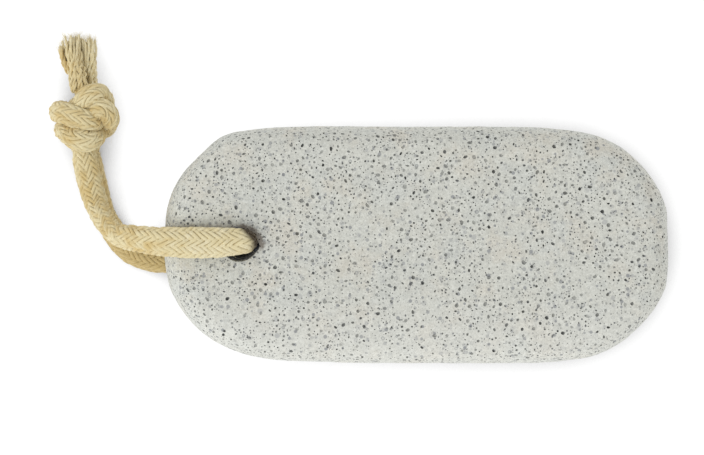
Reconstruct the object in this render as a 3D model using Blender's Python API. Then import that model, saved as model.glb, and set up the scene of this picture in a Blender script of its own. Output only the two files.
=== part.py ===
"""A pumice stone for the bath: one rounded slab of pumice with a hole near its left end, and a
length of soft braided cotton cord that runs through the hole and is knotted into a loop.

The slab lies with its long axis along X. One run of the cord passes under its left end, so the
slab leans a few degrees on the cord and on its right-hand lower edge. The origin is the centre
of the slab's footprint, on the surface that everything lies on. Sizes below are millimetres.
"""

import math

import bmesh
import bpy
import numpy as np
from mathutils import Matrix, Vector

MM = 0.001

# Slab
SLAB_THICKNESS = 20.0
SLAB_LEAN = math.radians(3.1)
EDGE_INSET = 5.0  # how far the rounding of the edge reaches in from the outline
EDGE_ROUNDNESS = 2.5  # exponent of the edge's superellipse: 2 is an ellipse, more is squarer
EDGE_STEPS = 6
OUTLINE_STEPS = 4
OUTLINE = [
    (-26.1, 25.9), (-3.6, 25.9), (18.3, 25.9), (30.4, 25.5), (40.9, 23.5), (49.0, 17.9), (54.3, 9.6),
    (55.1, 0.0), (54.5, -9.7), (49.0, -17.8), (40.9, -23.6), (30.4, -25.6), (18.3, -25.9),
    (-3.6, -25.9), (-21.1, -25.6), (-34.9, -24.6), (-43.2, -21.7), (-49.7, -16.5), (-53.9, -9.5),
    (-55.1, -3.3), (-55.1, 3.2), (-54.2, 9.8), (-51.6, 15.1), (-46.7, 20.3), (-42.6, 23.8), (-36.2, 25.2),
]
REST_SPLIT_X = 4.0  # the flat faces are split here, so that their right part is clear of the cord

# Hole, as worn: nearly round, with a blunt corner towards the middle of the slab
HOLE_STEPS = 3
HOLE = [
    (-42.6, 0.2), (-41.9, -2.0), (-40.5, -3.3), (-38.6, -3.8), (-36.7, -3.2), (-35.1, -1.9),
    (-34.1, -0.2), (-35.6, 1.8), (-37.1, 3.4), (-38.8, 4.1), (-40.8, 3.6), (-42.1, 2.1),
]

# Cord: the upper run leaves the hole over the slab, the lower run leaves it under the slab.
# Each point is (x, y, z, radius). The braid is pressed flatter on the slab and inside the hole.
CORD_SPACING = 2.6  # distance between the points of the finished tube
UPPER_RUN = [
    (-38.1, 0.9, 15.2, 2.2), (-37.9, 1.0, 18.0, 2.2), (-37.8, 1.0, 21.5, 2.2), (-38.2, 0.9, 24.6, 2.2),
    (-39.7, 0.7, 27.0, 2.2), (-42.2, 0.6, 28.0, 2.2), (-45.5, 0.5, 28.1, 2.2), (-49.1, 0.5, 28.0, 2.3),
    (-54.5, 0.7, 27.2, 2.6), (-58.3, 1.0, 25.2, 2.6), (-62.1, 1.5, 22.0, 2.6), (-64.9, 2.4, 18.6, 2.6),
    (-67.2, 4.1, 15.0, 2.6), (-68.9, 6.3, 12.0, 2.6), (-69.8, 8.1, 10.2, 2.5), (-70.7, 10.5, 8.9, 2.4),
    (-71.5, 13.1, 8.2, 2.4), (-72.1, 15.4, 8.0, 2.4), (-72.6, 17.6, 8.0, 2.4), (-72.7, 19.5, 8.0, 2.4),
]
LOWER_RUN = [
    (-38.2, 0.9, 14.9, 2.2), (-38.5, 0.8, 11.0, 2.2), (-38.6, 0.7, 7.5, 2.2), (-39.4, 0.4, 4.6, 2.2),
    (-41.3, -0.1, 2.7, 2.1), (-44.3, -0.8, 2.2, 2.1), (-48.0, -1.7, 2.3, 2.2), (-51.8, -2.6, 2.5, 2.4),
    (-55.6, -3.4, 2.6, 2.5), (-58.7, -3.1, 2.7, 2.6), (-61.4, -2.2, 2.7, 2.6), (-63.6, -0.8, 2.7, 2.6),
    (-65.5, 1.2, 2.7, 2.6), (-67.2, 3.6, 2.7, 2.6), (-68.4, 6.1, 2.7, 2.6), (-69.3, 8.6, 2.7, 2.5),
    (-70.3, 11.6, 2.7, 2.4), (-71.4, 14.8, 2.7, 2.4), (-72.1, 17.4, 2.7, 2.4), (-72.3, 19.4, 2.7, 2.4),
]

# Knot: an overhand knot tied in both runs at once, as the stretches that show on its outside
KNOT_RADIUS = 2.5
KNOT_CELL = 0.8
KNOT_FROM_Y = 20.1  # flat ends, where the two runs go in and the two tails come out
KNOT_TO_Y = 35.6
KNOT_CENTRE = (-72.5, 7.5)  # X and Z
KNOT_TURNS = {
    "standing": [(-72.8, 18.0, 8.0), (-73.3, 21.5, 7.4), (-73.6, 25.5, 7.4), (-73.6, 30.0, 8.2)],
    "standing_lower": [(-72.4, 18.0, 2.9), (-71.8, 21.5, 4.6), (-71.2, 25.5, 6.9), (-71.4, 29.5, 8.0)],
    "middle_band": [
        (-78.0, 28.9, 4.3), (-78.4, 29.1, 7.4), (-77.0, 28.9, 10.8), (-74.6, 28.3, 12.2),
        (-72.0, 27.6, 12.3), (-70.0, 27.3, 10.8),
    ],
    "bottom_wrap": [
        (-76.6, 25.8, 4.6), (-76.8, 25.0, 8.0), (-75.7, 23.4, 11.4), (-73.4, 22.8, 12.3),
        (-71.0, 22.9, 11.9), (-69.6, 24.3, 9.6),
    ],
    "top_turn": [
        (-73.8, 30.2, 9.5), (-72.2, 32.2, 12.0), (-70.0, 33.1, 12.2), (-68.4, 32.4, 9.4), (-68.4, 31.0, 6.0),
    ],
    "right_turn": [
        (-71.0, 30.2, 11.0), (-69.0, 29.9, 12.2), (-67.9, 28.2, 11.0), (-67.9, 26.2, 8.2), (-68.8, 24.6, 5.4),
    ],
    "back_upper": [(-68.4, 31.0, 6.0), (-70.4, 29.3, 2.8), (-74.4, 28.9, 2.6), (-78.0, 28.9, 4.3)],
    "back_lower": [(-68.8, 24.6, 5.4), (-70.8, 23.9, 2.8), (-74.0, 24.6, 2.6), (-76.6, 25.8, 4.6)],
    "left_root": [(-73.9, 31.0, 7.2), (-74.1, 33.5, 8.2), (-74.3, 37.0, 8.8)],
    "right_root": [(-71.6, 31.0, 5.4), (-71.4, 33.5, 4.9), (-71.3, 37.0, 4.6)],
}

# Tails: the two cut ends above the knot, which spread a little where they fray
TAIL_LEFT = [
    (-74.3, 36.3, 8.9, 2.2), (-74.5, 38.4, 8.6, 2.2), (-75.3, 41.0, 7.0, 2.2), (-75.9, 43.8, 5.0, 2.1),
    (-76.3, 46.1, 3.2, 2.0),
]
TAIL_RIGHT = [
    (-71.3, 36.2, 4.6, 2.1), (-71.4, 38.3, 4.4, 2.1), (-71.7, 41.2, 3.6, 2.0), (-71.9, 44.0, 2.8, 2.0),
    (-72.1, 46.4, 2.3, 2.0),
]


def clear_scene():
    """Remove every object that the file opens with."""
    for obj in list(bpy.data.objects):
        bpy.data.objects.remove(obj, do_unlink=True)


def material(name, colour, roughness):
    """A plain non-metal in one colour (linear RGB)."""
    made = bpy.data.materials.new(name)
    made.use_nodes = True
    shader = made.node_tree.nodes["Principled BSDF"]
    shader.inputs["Base Color"].default_value = (*colour, 1.0)
    shader.inputs["Roughness"].default_value = roughness
    shader.inputs["Metallic"].default_value = 0.0
    return made


def add_object(name, data, finish=None):
    """Link new object data into the scene, with its material."""
    obj = bpy.data.objects.new(name, data)
    bpy.context.scene.collection.objects.link(obj)
    if finish:
        data.materials.append(finish)
    return obj


def smooth_through(points, steps, closed):
    """Points on a centripetal Catmull-Rom curve, `steps` to each span between the given ones."""
    given = np.array(points, dtype=float)
    if closed:
        padded = np.vstack([given[-1:], given, given[:2]])
    else:
        padded = np.vstack([2 * given[0] - given[1], given, 2 * given[-1] - given[-2]])
    curve = []
    for before, start, end, after in zip(padded, padded[1:], padded[2:], padded[3:]):
        first, span, last = (
            math.sqrt(np.linalg.norm((b - a)[:3])) for a, b in ((before, start), (start, end), (end, after))
        )
        chord = (end - start) / span
        leave = span * ((start - before) / first - (end - before) / (first + span) + chord)
        arrive = span * (chord - (after - start) / (span + last) + (after - end) / last)
        for t in np.arange(steps) / steps:
            curve.append(
                (2 * t**3 - 3 * t**2 + 1) * start
                + (t**3 - 2 * t**2 + t) * leave
                + (3 * t**2 - 2 * t**3) * end
                + (t**3 - t**2) * arrive
            )
    if not closed:
        curve.append(given[-1])
    return np.array(curve)


def evenly_spaced(curve, spacing):
    """The same open curve with its points about `spacing` apart."""
    steps = np.linalg.norm(np.diff(curve[:, :3], axis=0), axis=1)
    along = np.concatenate([[0.0], np.cumsum(steps)])
    places = np.linspace(0.0, along[-1], max(2, round(along[-1] / spacing) + 1))
    return np.column_stack([np.interp(places, along, column) for column in curve.T])


def tube_curve(name, points, sides_resolution=2):
    """Curve data for a round tube with filled caps along (x, y, z, radius) points."""
    data = bpy.data.curves.new(name, "CURVE")
    data.dimensions = "3D"
    data.bevel_depth = MM
    data.bevel_resolution = sides_resolution
    data.use_fill_caps = True
    spline = data.splines.new("POLY")
    spline.points.add(len(points) - 1)
    for place, (x, y, z, radius) in zip(spline.points, points):
        place.co = (x * MM, y * MM, z * MM, 1.0)
        place.radius = radius
    return data


def cord_tube(name, route, finish):
    """One stretch of cord that bends smoothly through its route's points."""
    points = evenly_spaced(smooth_through(route, 8, closed=False), CORD_SPACING)
    return add_object(name, tube_curve(name, points), finish)


def edge_rings():
    """(inset, height) of each ring of the slab, from its lower flat face to its upper one."""
    half = SLAB_THICKNESS / 2
    rings = []
    for step in range(-EDGE_STEPS, EDGE_STEPS + 1):
        angle = math.pi / 2 * step / EDGE_STEPS
        rise = math.copysign(abs(math.sin(angle)) ** (2 / EDGE_ROUNDNESS), step)
        reach = max(math.cos(angle), 0.0) ** (2 / EDGE_ROUNDNESS)
        rings.append((EDGE_INSET * (1 - reach), half + half * rise))
    return rings


def outward_normals(outline):
    """Unit normals that point out of an anticlockwise or clockwise closed outline."""
    along = np.roll(outline, -1, axis=0) - np.roll(outline, 1, axis=0)
    normals = np.column_stack([along[:, 1], -along[:, 0]])
    normals /= np.linalg.norm(normals, axis=1)[:, None]
    outside = np.sum(normals * (outline - outline.mean(axis=0)), axis=1).mean() > 0
    return normals if outside else -normals


def slab_mesh(name):
    """The whole slab, lying flat with its lower face at z = 0."""
    outline = smooth_through(OUTLINE, OUTLINE_STEPS, closed=True)
    normals = outward_normals(outline)
    body = bmesh.new()
    rings = []
    for inset, height in edge_rings():
        ring = outline - inset * normals
        rings.append([body.verts.new((x * MM, y * MM, height * MM)) for x, y in ring])
    for lower, upper in zip(rings, rings[1:]):
        for i in range(len(lower)):
            j = (i + 1) % len(lower)
            body.faces.new((lower[i], lower[j], upper[j], upper[i]))
    body.faces.new(rings[0])
    body.faces.new(rings[-1])
    split = body.verts[:] + body.edges[:] + body.faces[:]
    bmesh.ops.bisect_plane(body, geom=split, plane_co=(REST_SPLIT_X * MM, 0, 0), plane_no=(1, 0, 0))
    bmesh.ops.recalc_face_normals(body, faces=body.faces)
    mesh = bpy.data.meshes.new(name)
    body.to_mesh(mesh)
    body.free()
    mesh.shade_smooth()
    mesh.set_sharp_from_angle(angle=math.radians(35))
    return mesh


def hole_cutter(name):
    """A prism of the hole's outline, longer than the slab is thick."""
    outline = smooth_through(HOLE, HOLE_STEPS, closed=True)
    body = bmesh.new()
    base = body.faces.new([body.verts.new((x * MM, y * MM, -2 * MM)) for x, y in outline])
    raised = bmesh.ops.extrude_face_region(body, geom=[base])["geom"]
    top = [item for item in raised if isinstance(item, bmesh.types.BMVert)]
    bmesh.ops.translate(body, verts=top, vec=(0, 0, (SLAB_THICKNESS + 4) * MM))
    bmesh.ops.recalc_face_normals(body, faces=body.faces)
    mesh = bpy.data.meshes.new(name)
    body.to_mesh(mesh)
    body.free()
    cutter = add_object(name, mesh)
    cutter.hide_render = True
    cutter.display_type = "WIRE"
    return cutter


def lean_on_cord(mesh):
    """The empty that turns the slab so it leans, with its footprint centred and its edge on z = 0."""
    turn = Matrix.Rotation(SLAB_LEAN, 3, "Y")
    turned = np.array([turn @ vertex.co for vertex in mesh.vertices])
    low, high = turned.min(axis=0), turned.max(axis=0)
    place = add_object("slab_place", None)
    place.rotation_euler = (0, SLAB_LEAN, 0)
    place.location = (-(low[0] + high[0]) / 2, -(low[1] + high[1]) / 2, -low[2])
    return place


def stone(finish):
    """The pumice slab with its hole."""
    mesh = slab_mesh("stone")
    place = lean_on_cord(mesh)
    slab = add_object("stone", mesh, finish)
    cutter = hole_cutter("hole_cutter")
    for item in (slab, cutter):
        item.parent = place
    cut = slab.modifiers.new("hole", "BOOLEAN")
    cut.operation = "DIFFERENCE"
    cut.object = cutter
    return slab


def joined_tubes(turns):
    """A bmesh that holds one closed tube for each list of (x, y, z) points."""
    body = bmesh.new()
    for name, points in turns.items():
        rounded = smooth_through([(*point, KNOT_RADIUS) for point in points], 5, closed=False)
        guide = add_object(name, tube_curve(name, rounded))
        mesh = bpy.data.meshes.new_from_object(guide)
        body.from_mesh(mesh)
        bpy.data.objects.remove(guide, do_unlink=True)
    bmesh.ops.remove_doubles(body, verts=body.verts, dist=MM / 1000)
    return body


def trim_with_block(bundle, name, low_y, high_y):
    """Cut everything between two Y planes off the knot, with a hidden block."""
    span = high_y - low_y
    body = bmesh.new()
    bmesh.ops.create_cube(body, size=span * MM)
    mesh = bpy.data.meshes.new(name)
    body.to_mesh(mesh)
    body.free()
    block = add_object(name, mesh)
    centre_x, centre_z = KNOT_CENTRE
    block.location = Vector((centre_x, (low_y + high_y) / 2, centre_z)) * MM
    block.hide_render = True
    block.display_type = "WIRE"
    trim = bundle.modifiers.new(name, "BOOLEAN")
    trim.operation = "DIFFERENCE"
    trim.object = block


def knot(finish):
    """One closed body of the knot's outer shape, with a flat at each end for its runs and tails."""
    body = joined_tubes(KNOT_TURNS)
    mesh = bpy.data.meshes.new("knot")
    body.to_mesh(mesh)
    body.free()
    bundle = add_object("knot", mesh, finish)
    fuse = bundle.modifiers.new("fuse", "REMESH")
    fuse.mode = "VOXEL"
    fuse.voxel_size = KNOT_CELL * MM
    fuse.use_smooth_shade = True
    block = 2 * (KNOT_TO_Y - KNOT_FROM_Y)
    trim_with_block(bundle, "entry_block", KNOT_FROM_Y - block, KNOT_FROM_Y)
    trim_with_block(bundle, "exit_block", KNOT_TO_Y, KNOT_TO_Y + block)
    return bundle


def main():
    clear_scene()
    pumice = material("pumice", (0.56, 0.56, 0.53), 0.95)
    cotton = material("cotton", (0.66, 0.56, 0.36), 0.9)
    stone(pumice)
    cord_tube("cord_upper", UPPER_RUN, cotton)
    cord_tube("cord_lower", LOWER_RUN, cotton)
    knot(cotton)
    cord_tube("tail_left", TAIL_LEFT, cotton)
    cord_tube("tail_right", TAIL_RIGHT, cotton)


main()
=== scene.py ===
"""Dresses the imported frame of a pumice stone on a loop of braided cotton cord.

The stone is one slab of foamed rock with rounded sides, full of bubbles that its faces cut open. The
cord goes through the hole near one end of the stone. Its two halves lie one over the other beside the
stone, turn away side by side, are tied together in an overhand knot, and fray beyond it.

Everything is in metres. Sizes are written in millimetres and multiplied by MM.
"""

import logging
import math
from dataclasses import dataclass
from enum import Enum
from itertools import product

import bpy
import numpy as np
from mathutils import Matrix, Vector, kdtree, noise


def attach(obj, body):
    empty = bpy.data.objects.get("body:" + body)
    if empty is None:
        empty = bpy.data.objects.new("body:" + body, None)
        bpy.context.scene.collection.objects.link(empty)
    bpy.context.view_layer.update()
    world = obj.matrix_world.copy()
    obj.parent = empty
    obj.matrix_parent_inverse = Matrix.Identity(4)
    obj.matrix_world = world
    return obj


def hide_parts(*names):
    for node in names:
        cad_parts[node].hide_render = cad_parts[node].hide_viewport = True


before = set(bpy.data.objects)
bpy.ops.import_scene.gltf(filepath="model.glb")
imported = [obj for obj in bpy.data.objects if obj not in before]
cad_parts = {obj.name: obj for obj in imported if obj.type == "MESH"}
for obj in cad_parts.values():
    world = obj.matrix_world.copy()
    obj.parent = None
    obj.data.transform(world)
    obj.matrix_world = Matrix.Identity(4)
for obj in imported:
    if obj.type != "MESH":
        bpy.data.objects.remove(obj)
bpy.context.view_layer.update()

LOG = logging.getLogger("pumice_stone")
MM = 0.001

# A loose fibre is so thin that three sides are enough.
FIBRE_SIDES = 3

# A yarn's UV map is measured in grains of its fibre: how many a ply is wide, how many a yarn of a braid is
# long from one crossing to the next, how many a loose fibre is round, and how long a grain is on it.
PLY_GRAINS = 4.5
CROSSING_GRAINS = 2.2
FIBRE_GRAINS = 5.0
GRAIN_LENGTH = 0.65 * MM

Colour = tuple[float, float, float]
Place = tuple[float, float, float]
Span = tuple[float, float]
Row = tuple[float, float, float, float, float]
Piece = bpy.types.Object
Socket = bpy.types.NodeSocket


# ---------------------------------------------------------------- shared helpers


def metres(points: list[tuple[float, ...]]) -> np.ndarray:
    """Return a list of millimetre values as an array of metres."""
    return np.array(points, dtype=float) * MM


def unit(vectors: np.ndarray) -> np.ndarray:
    """Return the vectors at length one."""
    return vectors / np.maximum(np.linalg.norm(vectors, axis=-1, keepdims=True), 1e-12)


def ramp(values: np.ndarray, start: float, over: float) -> np.ndarray:
    """Return 0 before the start and 1 from a distance beyond it, rising evenly between."""
    return np.clip((values - start) / over, 0, 1)


def run_length(points: np.ndarray) -> np.ndarray:
    """Return how far along the line each of its points is."""
    steps = np.linalg.norm(np.diff(points[:, :3], axis=0), axis=1)
    return np.concatenate([[0.0], np.cumsum(steps)])


def at_lengths(line: np.ndarray, places: np.ndarray) -> np.ndarray:
    """Read every column of a line at the given distances along it.

    Args:
        line: points with any further columns after X, Y and Z.
        places: distances from the line's start.

    Returns:
        One row for each place.
    """
    along = run_length(line)
    return np.column_stack([np.interp(places, along, column) for column in line.T])


def smooth_through(points: np.ndarray, steps: int = 12) -> np.ndarray:
    """Draw a centripetal Catmull-Rom curve through an open row of points.

    Args:
        points: the points, with any further columns after X, Y and Z.
        steps: how many points each span gets.

    Returns:
        The curve's points, with the same columns.
    """
    padded = np.vstack([2 * points[0] - points[1], points, 2 * points[-1] - points[-2]])
    curve = []
    for before, start, end, after in zip(padded, padded[1:], padded[2:], padded[3:]):
        first, span, last = (
            math.sqrt(np.linalg.norm((b - a)[:3]))
            for a, b in ((before, start), (start, end), (end, after))
        )
        chord = (end - start) / span
        leave = span * ((start - before) / first - (end - before) / (first + span) + chord)
        arrive = span * (chord - (after - start) / (span + last) + (after - end) / last)
        for t in np.arange(steps) / steps:
            curve.append(
                (2 * t**3 - 3 * t**2 + 1) * start
                + (t**3 - 2 * t**2 + t) * leave
                + (3 * t**2 - 2 * t**3) * end
                + (t**3 - t**2) * arrive
            )
    curve.append(points[-1])
    return np.array(curve)


def carried_frames(paths: np.ndarray, first: np.ndarray) -> tuple[np.ndarray, ...]:
    """Carry a crosswise direction along each path without twisting it.

    Args:
        paths: n paths of m points, as an n by m by 3 array.
        first: for each path, a direction that its first crosswise one leans to.

    Returns:
        The unit tangents, crosswise directions and their partners, each n by m by 3.
    """
    tangents = unit(np.gradient(paths, axis=1))
    across = np.empty_like(paths)
    held = first
    for k in range(paths.shape[1]):
        tangent = tangents[:, k]
        held = unit(held - (held * tangent).sum(1, keepdims=True) * tangent)
        across[:, k] = held
    return tangents, across, np.cross(tangents, across)


def line_frames(line: np.ndarray) -> tuple[np.ndarray, ...]:
    """Carry a crosswise direction along one line, starting as near +Y as it can.

    Args:
        line: points with any further columns after X, Y and Z.

    Returns:
        The unit tangents, crosswise directions and their partners, one row for each point.
    """
    return tuple(part[0] for part in carried_frames(line[None, :, :3], np.array([[0.0, 1.0, 0.0]])))


def deselect_all() -> None:
    """Leave no object selected."""
    bpy.ops.object.select_all(action="DESELECT")


def make_active(piece: Piece) -> None:
    """Select one object alone and make it the active one.

    Args:
        piece: the object.
    """
    deselect_all()
    piece.hide_set(False)
    piece.select_set(True)
    bpy.context.view_layer.objects.active = piece


def apply_modifier(piece: Piece, name: str) -> None:
    """Apply one modifier of an object."""
    make_active(piece)
    bpy.ops.object.modifier_apply(modifier=name)


def mesh_object(name: str, vertices: np.ndarray, triangles: np.ndarray) -> Piece:
    """Make a smooth-shaded object and link it to the scene.

    Args:
        name: its name.
        vertices: its points.
        triangles: rows of three indices, facing out.

    Returns:
        The object.
    """
    mesh = bpy.data.meshes.new(name)
    mesh.from_pydata(vertices, [], triangles)
    mesh.shade_smooth()
    piece = bpy.data.objects.new(name, mesh)
    bpy.context.scene.collection.objects.link(piece)
    return piece


def point_attribute(piece: Piece, name: str, values: np.ndarray) -> None:
    """Store one number for each point of a mesh under a name."""
    attribute = piece.data.attributes.new(name, "FLOAT", "POINT")
    attribute.data.foreach_set("value", values.astype(np.float32))


def vertex_places(piece: Piece) -> np.ndarray:
    """Read where a mesh's points are.

    Args:
        piece: the mesh's object.

    Returns:
        One row of X, Y and Z for each point.
    """
    places = np.empty(len(piece.data.vertices) * 3, np.float32)
    piece.data.vertices.foreach_get("co", places)
    return places.reshape(-1, 3)


def tube_triangles(paths: int, rings: int, sides: int) -> np.ndarray:
    """Index the triangles of closed tubes whose points run ring by ring.

    Args:
        paths: how many tubes there are.
        rings: rings in each tube, its two end points coming after all the rings.
        sides: points in each ring.

    Returns:
        The triangles as rows of three indices, facing out.
    """
    ring, side = (grid.ravel() for grid in np.meshgrid(np.arange(rings - 1), np.arange(sides)))
    beside = (side + 1) % sides
    a, b = ring * sides + side, ring * sides + beside
    c, d = a + sides, b + sides
    walls = np.concatenate([np.column_stack([a, b, d]), np.column_stack([a, d, c])])
    around = np.arange(sides)
    onward = (around + 1) % sides
    last = (rings - 1) * sides
    start_point, end_point = rings * sides, rings * sides + 1
    start = np.column_stack([onward, around, np.full(sides, start_point)])
    end = np.column_stack([last + around, last + onward, np.full(sides, end_point)])
    one = np.concatenate([walls, start, end])
    stride = rings * sides + 2
    return (one[None] + (np.arange(paths) * stride)[:, None, None]).reshape(-1, 3)


def tubes(paths: np.ndarray, radii: np.ndarray, sides: int, first: np.ndarray) -> tuple[np.ndarray, ...]:
    """Sweep a round section along many paths at once.

    Args:
        paths: n paths of m points, as an n by m by 3 array.
        radii: the section's radius at each point, n by m, or n by m by sides.
        sides: points around each section.
        first: for each path, a direction that isn't along its start.

    Returns:
        The points and the triangles.
    """
    tangents, across, partner = carried_frames(paths, first)
    turn = np.arange(sides) * 2 * math.pi / sides
    radii = radii[..., None] if radii.ndim == 2 else radii
    ring = (
        paths[:, :, None]
        + (radii * np.cos(turn))[..., None] * across[:, :, None]
        + (radii * np.sin(turn))[..., None] * partner[:, :, None]
    )
    count, rings = paths.shape[:2]
    reach = radii.mean(axis=2)[:, [0, -1], None] * 0.6
    tips = paths[:, [0, -1]] + tangents[:, [0, -1]] * reach * np.array([-1.0, 1.0])[None, :, None]
    points = np.concatenate([ring.reshape(count, -1, 3), tips], axis=1).reshape(-1, 3)
    return points, tube_triangles(count, rings, sides)


# ---------------------------------------------------------------- materials


class Shader:
    """One material's nodes, added and joined by short calls.

    Attributes:
        material: the material that is being made.
        surface: its Principled BSDF.
    """

    def __init__(self, name: str) -> None:
        """Start a material that has only its surface and its output.

        Args:
            name: the material's name.
        """
        self.material = bpy.data.materials.new(name)
        self.material.use_nodes = True
        self.tree = self.material.node_tree
        self.tree.nodes.clear()
        self.surface = self.add("ShaderNodeBsdfPrincipled")
        output = self.add("ShaderNodeOutputMaterial")
        self.tree.links.new(self.surface.outputs["BSDF"], output.inputs["Surface"])

    def add(self, kind: str, **settings: object) -> bpy.types.Node:
        """Add a node.

        Args:
            kind: the node's type.
            settings: its options by name.

        Returns:
            The node.
        """
        node = self.tree.nodes.new(kind)
        for name, value in settings.items():
            setattr(node, name, value)
        return node

    def feed(self, node: bpy.types.Node, socket: int | str, source: object) -> None:
        """Join a socket to an input, or set the input where the source is a plain value.

        Args:
            node: the node that is fed.
            socket: its input, by name or number.
            source: the socket or the value.
        """
        if isinstance(source, Socket):
            self.tree.links.new(source, node.inputs[socket])
        else:
            node.inputs[socket].default_value = source

    def maths(self, operation: str, *terms: object) -> Socket:
        """Work a sum on up to three terms.

        Args:
            operation: the Math node's operation.
            terms: sockets or numbers.

        Returns:
            The result.
        """
        node = self.add("ShaderNodeMath", operation=operation)
        for place, term in enumerate(terms):
            self.feed(node, place, term)
        return node.outputs[0]

    def between(
        self, value: object, start: float, end: float, low: float = 0.0, high: float = 1.0
    ) -> Socket:
        """Step smoothly from one number to another as a value goes from start to end.

        Args:
            value: the value.
            start, end: where the step starts and ends.
            low, high: the numbers at the start and at the end.

        Returns:
            The number at each place.
        """
        node = self.add("ShaderNodeMapRange", interpolation_type="SMOOTHSTEP")
        for place, term in enumerate((value, start, end, low, high)):
            self.feed(node, place, term)
        return node.outputs["Result"]

    def blend(self, share: object, base: object, other: object, mode: str = "MIX") -> Socket:
        """Mix two colours.

        Args:
            share: how much of the other colour is laid on.
            base, other: the two colours.
            mode: how it is laid on.

        Returns:
            The mixed colour.
        """
        node = self.add("ShaderNodeMix", data_type="RGBA", blend_type=mode)
        for socket, source in ((0, share), (6, base), (7, other)):
            if socket and isinstance(source, tuple):
                source = (*source, 1.0)
            self.feed(node, socket, source)
        return node.outputs[2]

    def about(self, where: Socket, centre: Place) -> Socket:
        """Move coordinates so that they start from a centre.

        Args:
            where: the coordinates.
            centre: the new zero.

        Returns:
            The moved coordinates.
        """
        node = self.add("ShaderNodeMapping")
        self.feed(node, "Vector", where)
        node.inputs["Location"].default_value = tuple(-value for value in centre)
        return node.outputs[0]

    def parts(self, vector: Socket) -> tuple[Socket, ...]:
        """Split a vector.

        Args:
            vector: the vector.

        Returns:
            Its X, Y and Z.
        """
        node = self.add("ShaderNodeSeparateXYZ")
        self.feed(node, 0, vector)
        return tuple(node.outputs)

    def noise(
        self, where: Socket, scale: float, detail: float = 2.0, roughness: float = 0.5
    ) -> Socket:
        """Make a soft random pattern.

        Args:
            where: the coordinates.
            scale: how many of its features fit in one unit of them.
            detail: how many finer layers it has.
            roughness: how strong each finer layer is beside the last.

        Returns:
            Its value, around a half.
        """
        node = self.add("ShaderNodeTexNoise")
        for socket, source in (
            ("Vector", where), ("Scale", scale), ("Detail", detail), ("Roughness", roughness)
        ):
            self.feed(node, socket, source)
        return node.outputs[0]

    def attribute(self, name: str) -> Socket:
        """Return the value that the mesh stores under a name."""
        return self.add("ShaderNodeAttribute", attribute_name=name).outputs["Fac"]

    def bump(self, height: Socket, distance: float) -> None:
        """Stand the fine relief out of the surface.

        Args:
            height: the relief.
            distance: how far a height of one stands out.
        """
        node = self.add("ShaderNodeBump")
        self.feed(node, "Height", height)
        self.feed(node, "Distance", distance)
        self.feed(self.surface, "Normal", node.outputs[0])


@dataclass(frozen=True)
class PitShadeSpecks:
    """A scatter of round dark marks: painted shade of pores too small to cut.

    Attributes:
        scale: cells to a metre; each cell has one mark at the most.
        size: a mark's radius, in cells.
        share: the share of the cells that have one.
        depth: how strong the strongest is.
        hollow: how much of a mark's middle is left out, from 0 for a disc to 1 for a ring.
    """

    scale: float
    size: float
    share: float
    depth: float
    hollow: float = 0.0

    def strength(self, shader: Shader, where: Socket) -> Socket:
        """Return how strongly the marks show.

        Args:
            shader: the material's nodes.
            where: the coordinates.

        Returns:
            The strength at each place, 0 between the marks.
        """
        cells = shader.add("ShaderNodeTexVoronoi", feature="F1")
        shader.feed(cells, "Vector", where)
        shader.feed(cells, "Scale", self.scale)
        split = shader.add("ShaderNodeSeparateColor")
        shader.feed(split, 0, cells.outputs["Color"])
        left_out = 1.0 - self.share
        depth = shader.between(split.outputs[0], left_out, 1.0, 0.25 * self.depth, self.depth)
        chosen = shader.maths("MULTIPLY", depth, shader.maths("GREATER_THAN", split.outputs[0], left_out))
        size = shader.maths("MULTIPLY_ADD", split.outputs[1], 0.5 * self.size, 0.6 * self.size)
        share = shader.maths("DIVIDE", cells.outputs["Distance"], size)
        dot = shader.between(share, 1.0, 0.72)
        if self.hollow:
            dot = shader.maths("MULTIPLY", dot, shader.between(share, 0.35, 0.8, 1.0 - self.hollow, 1.0))
        return shader.maths("MULTIPLY", dot, chosen)


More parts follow.
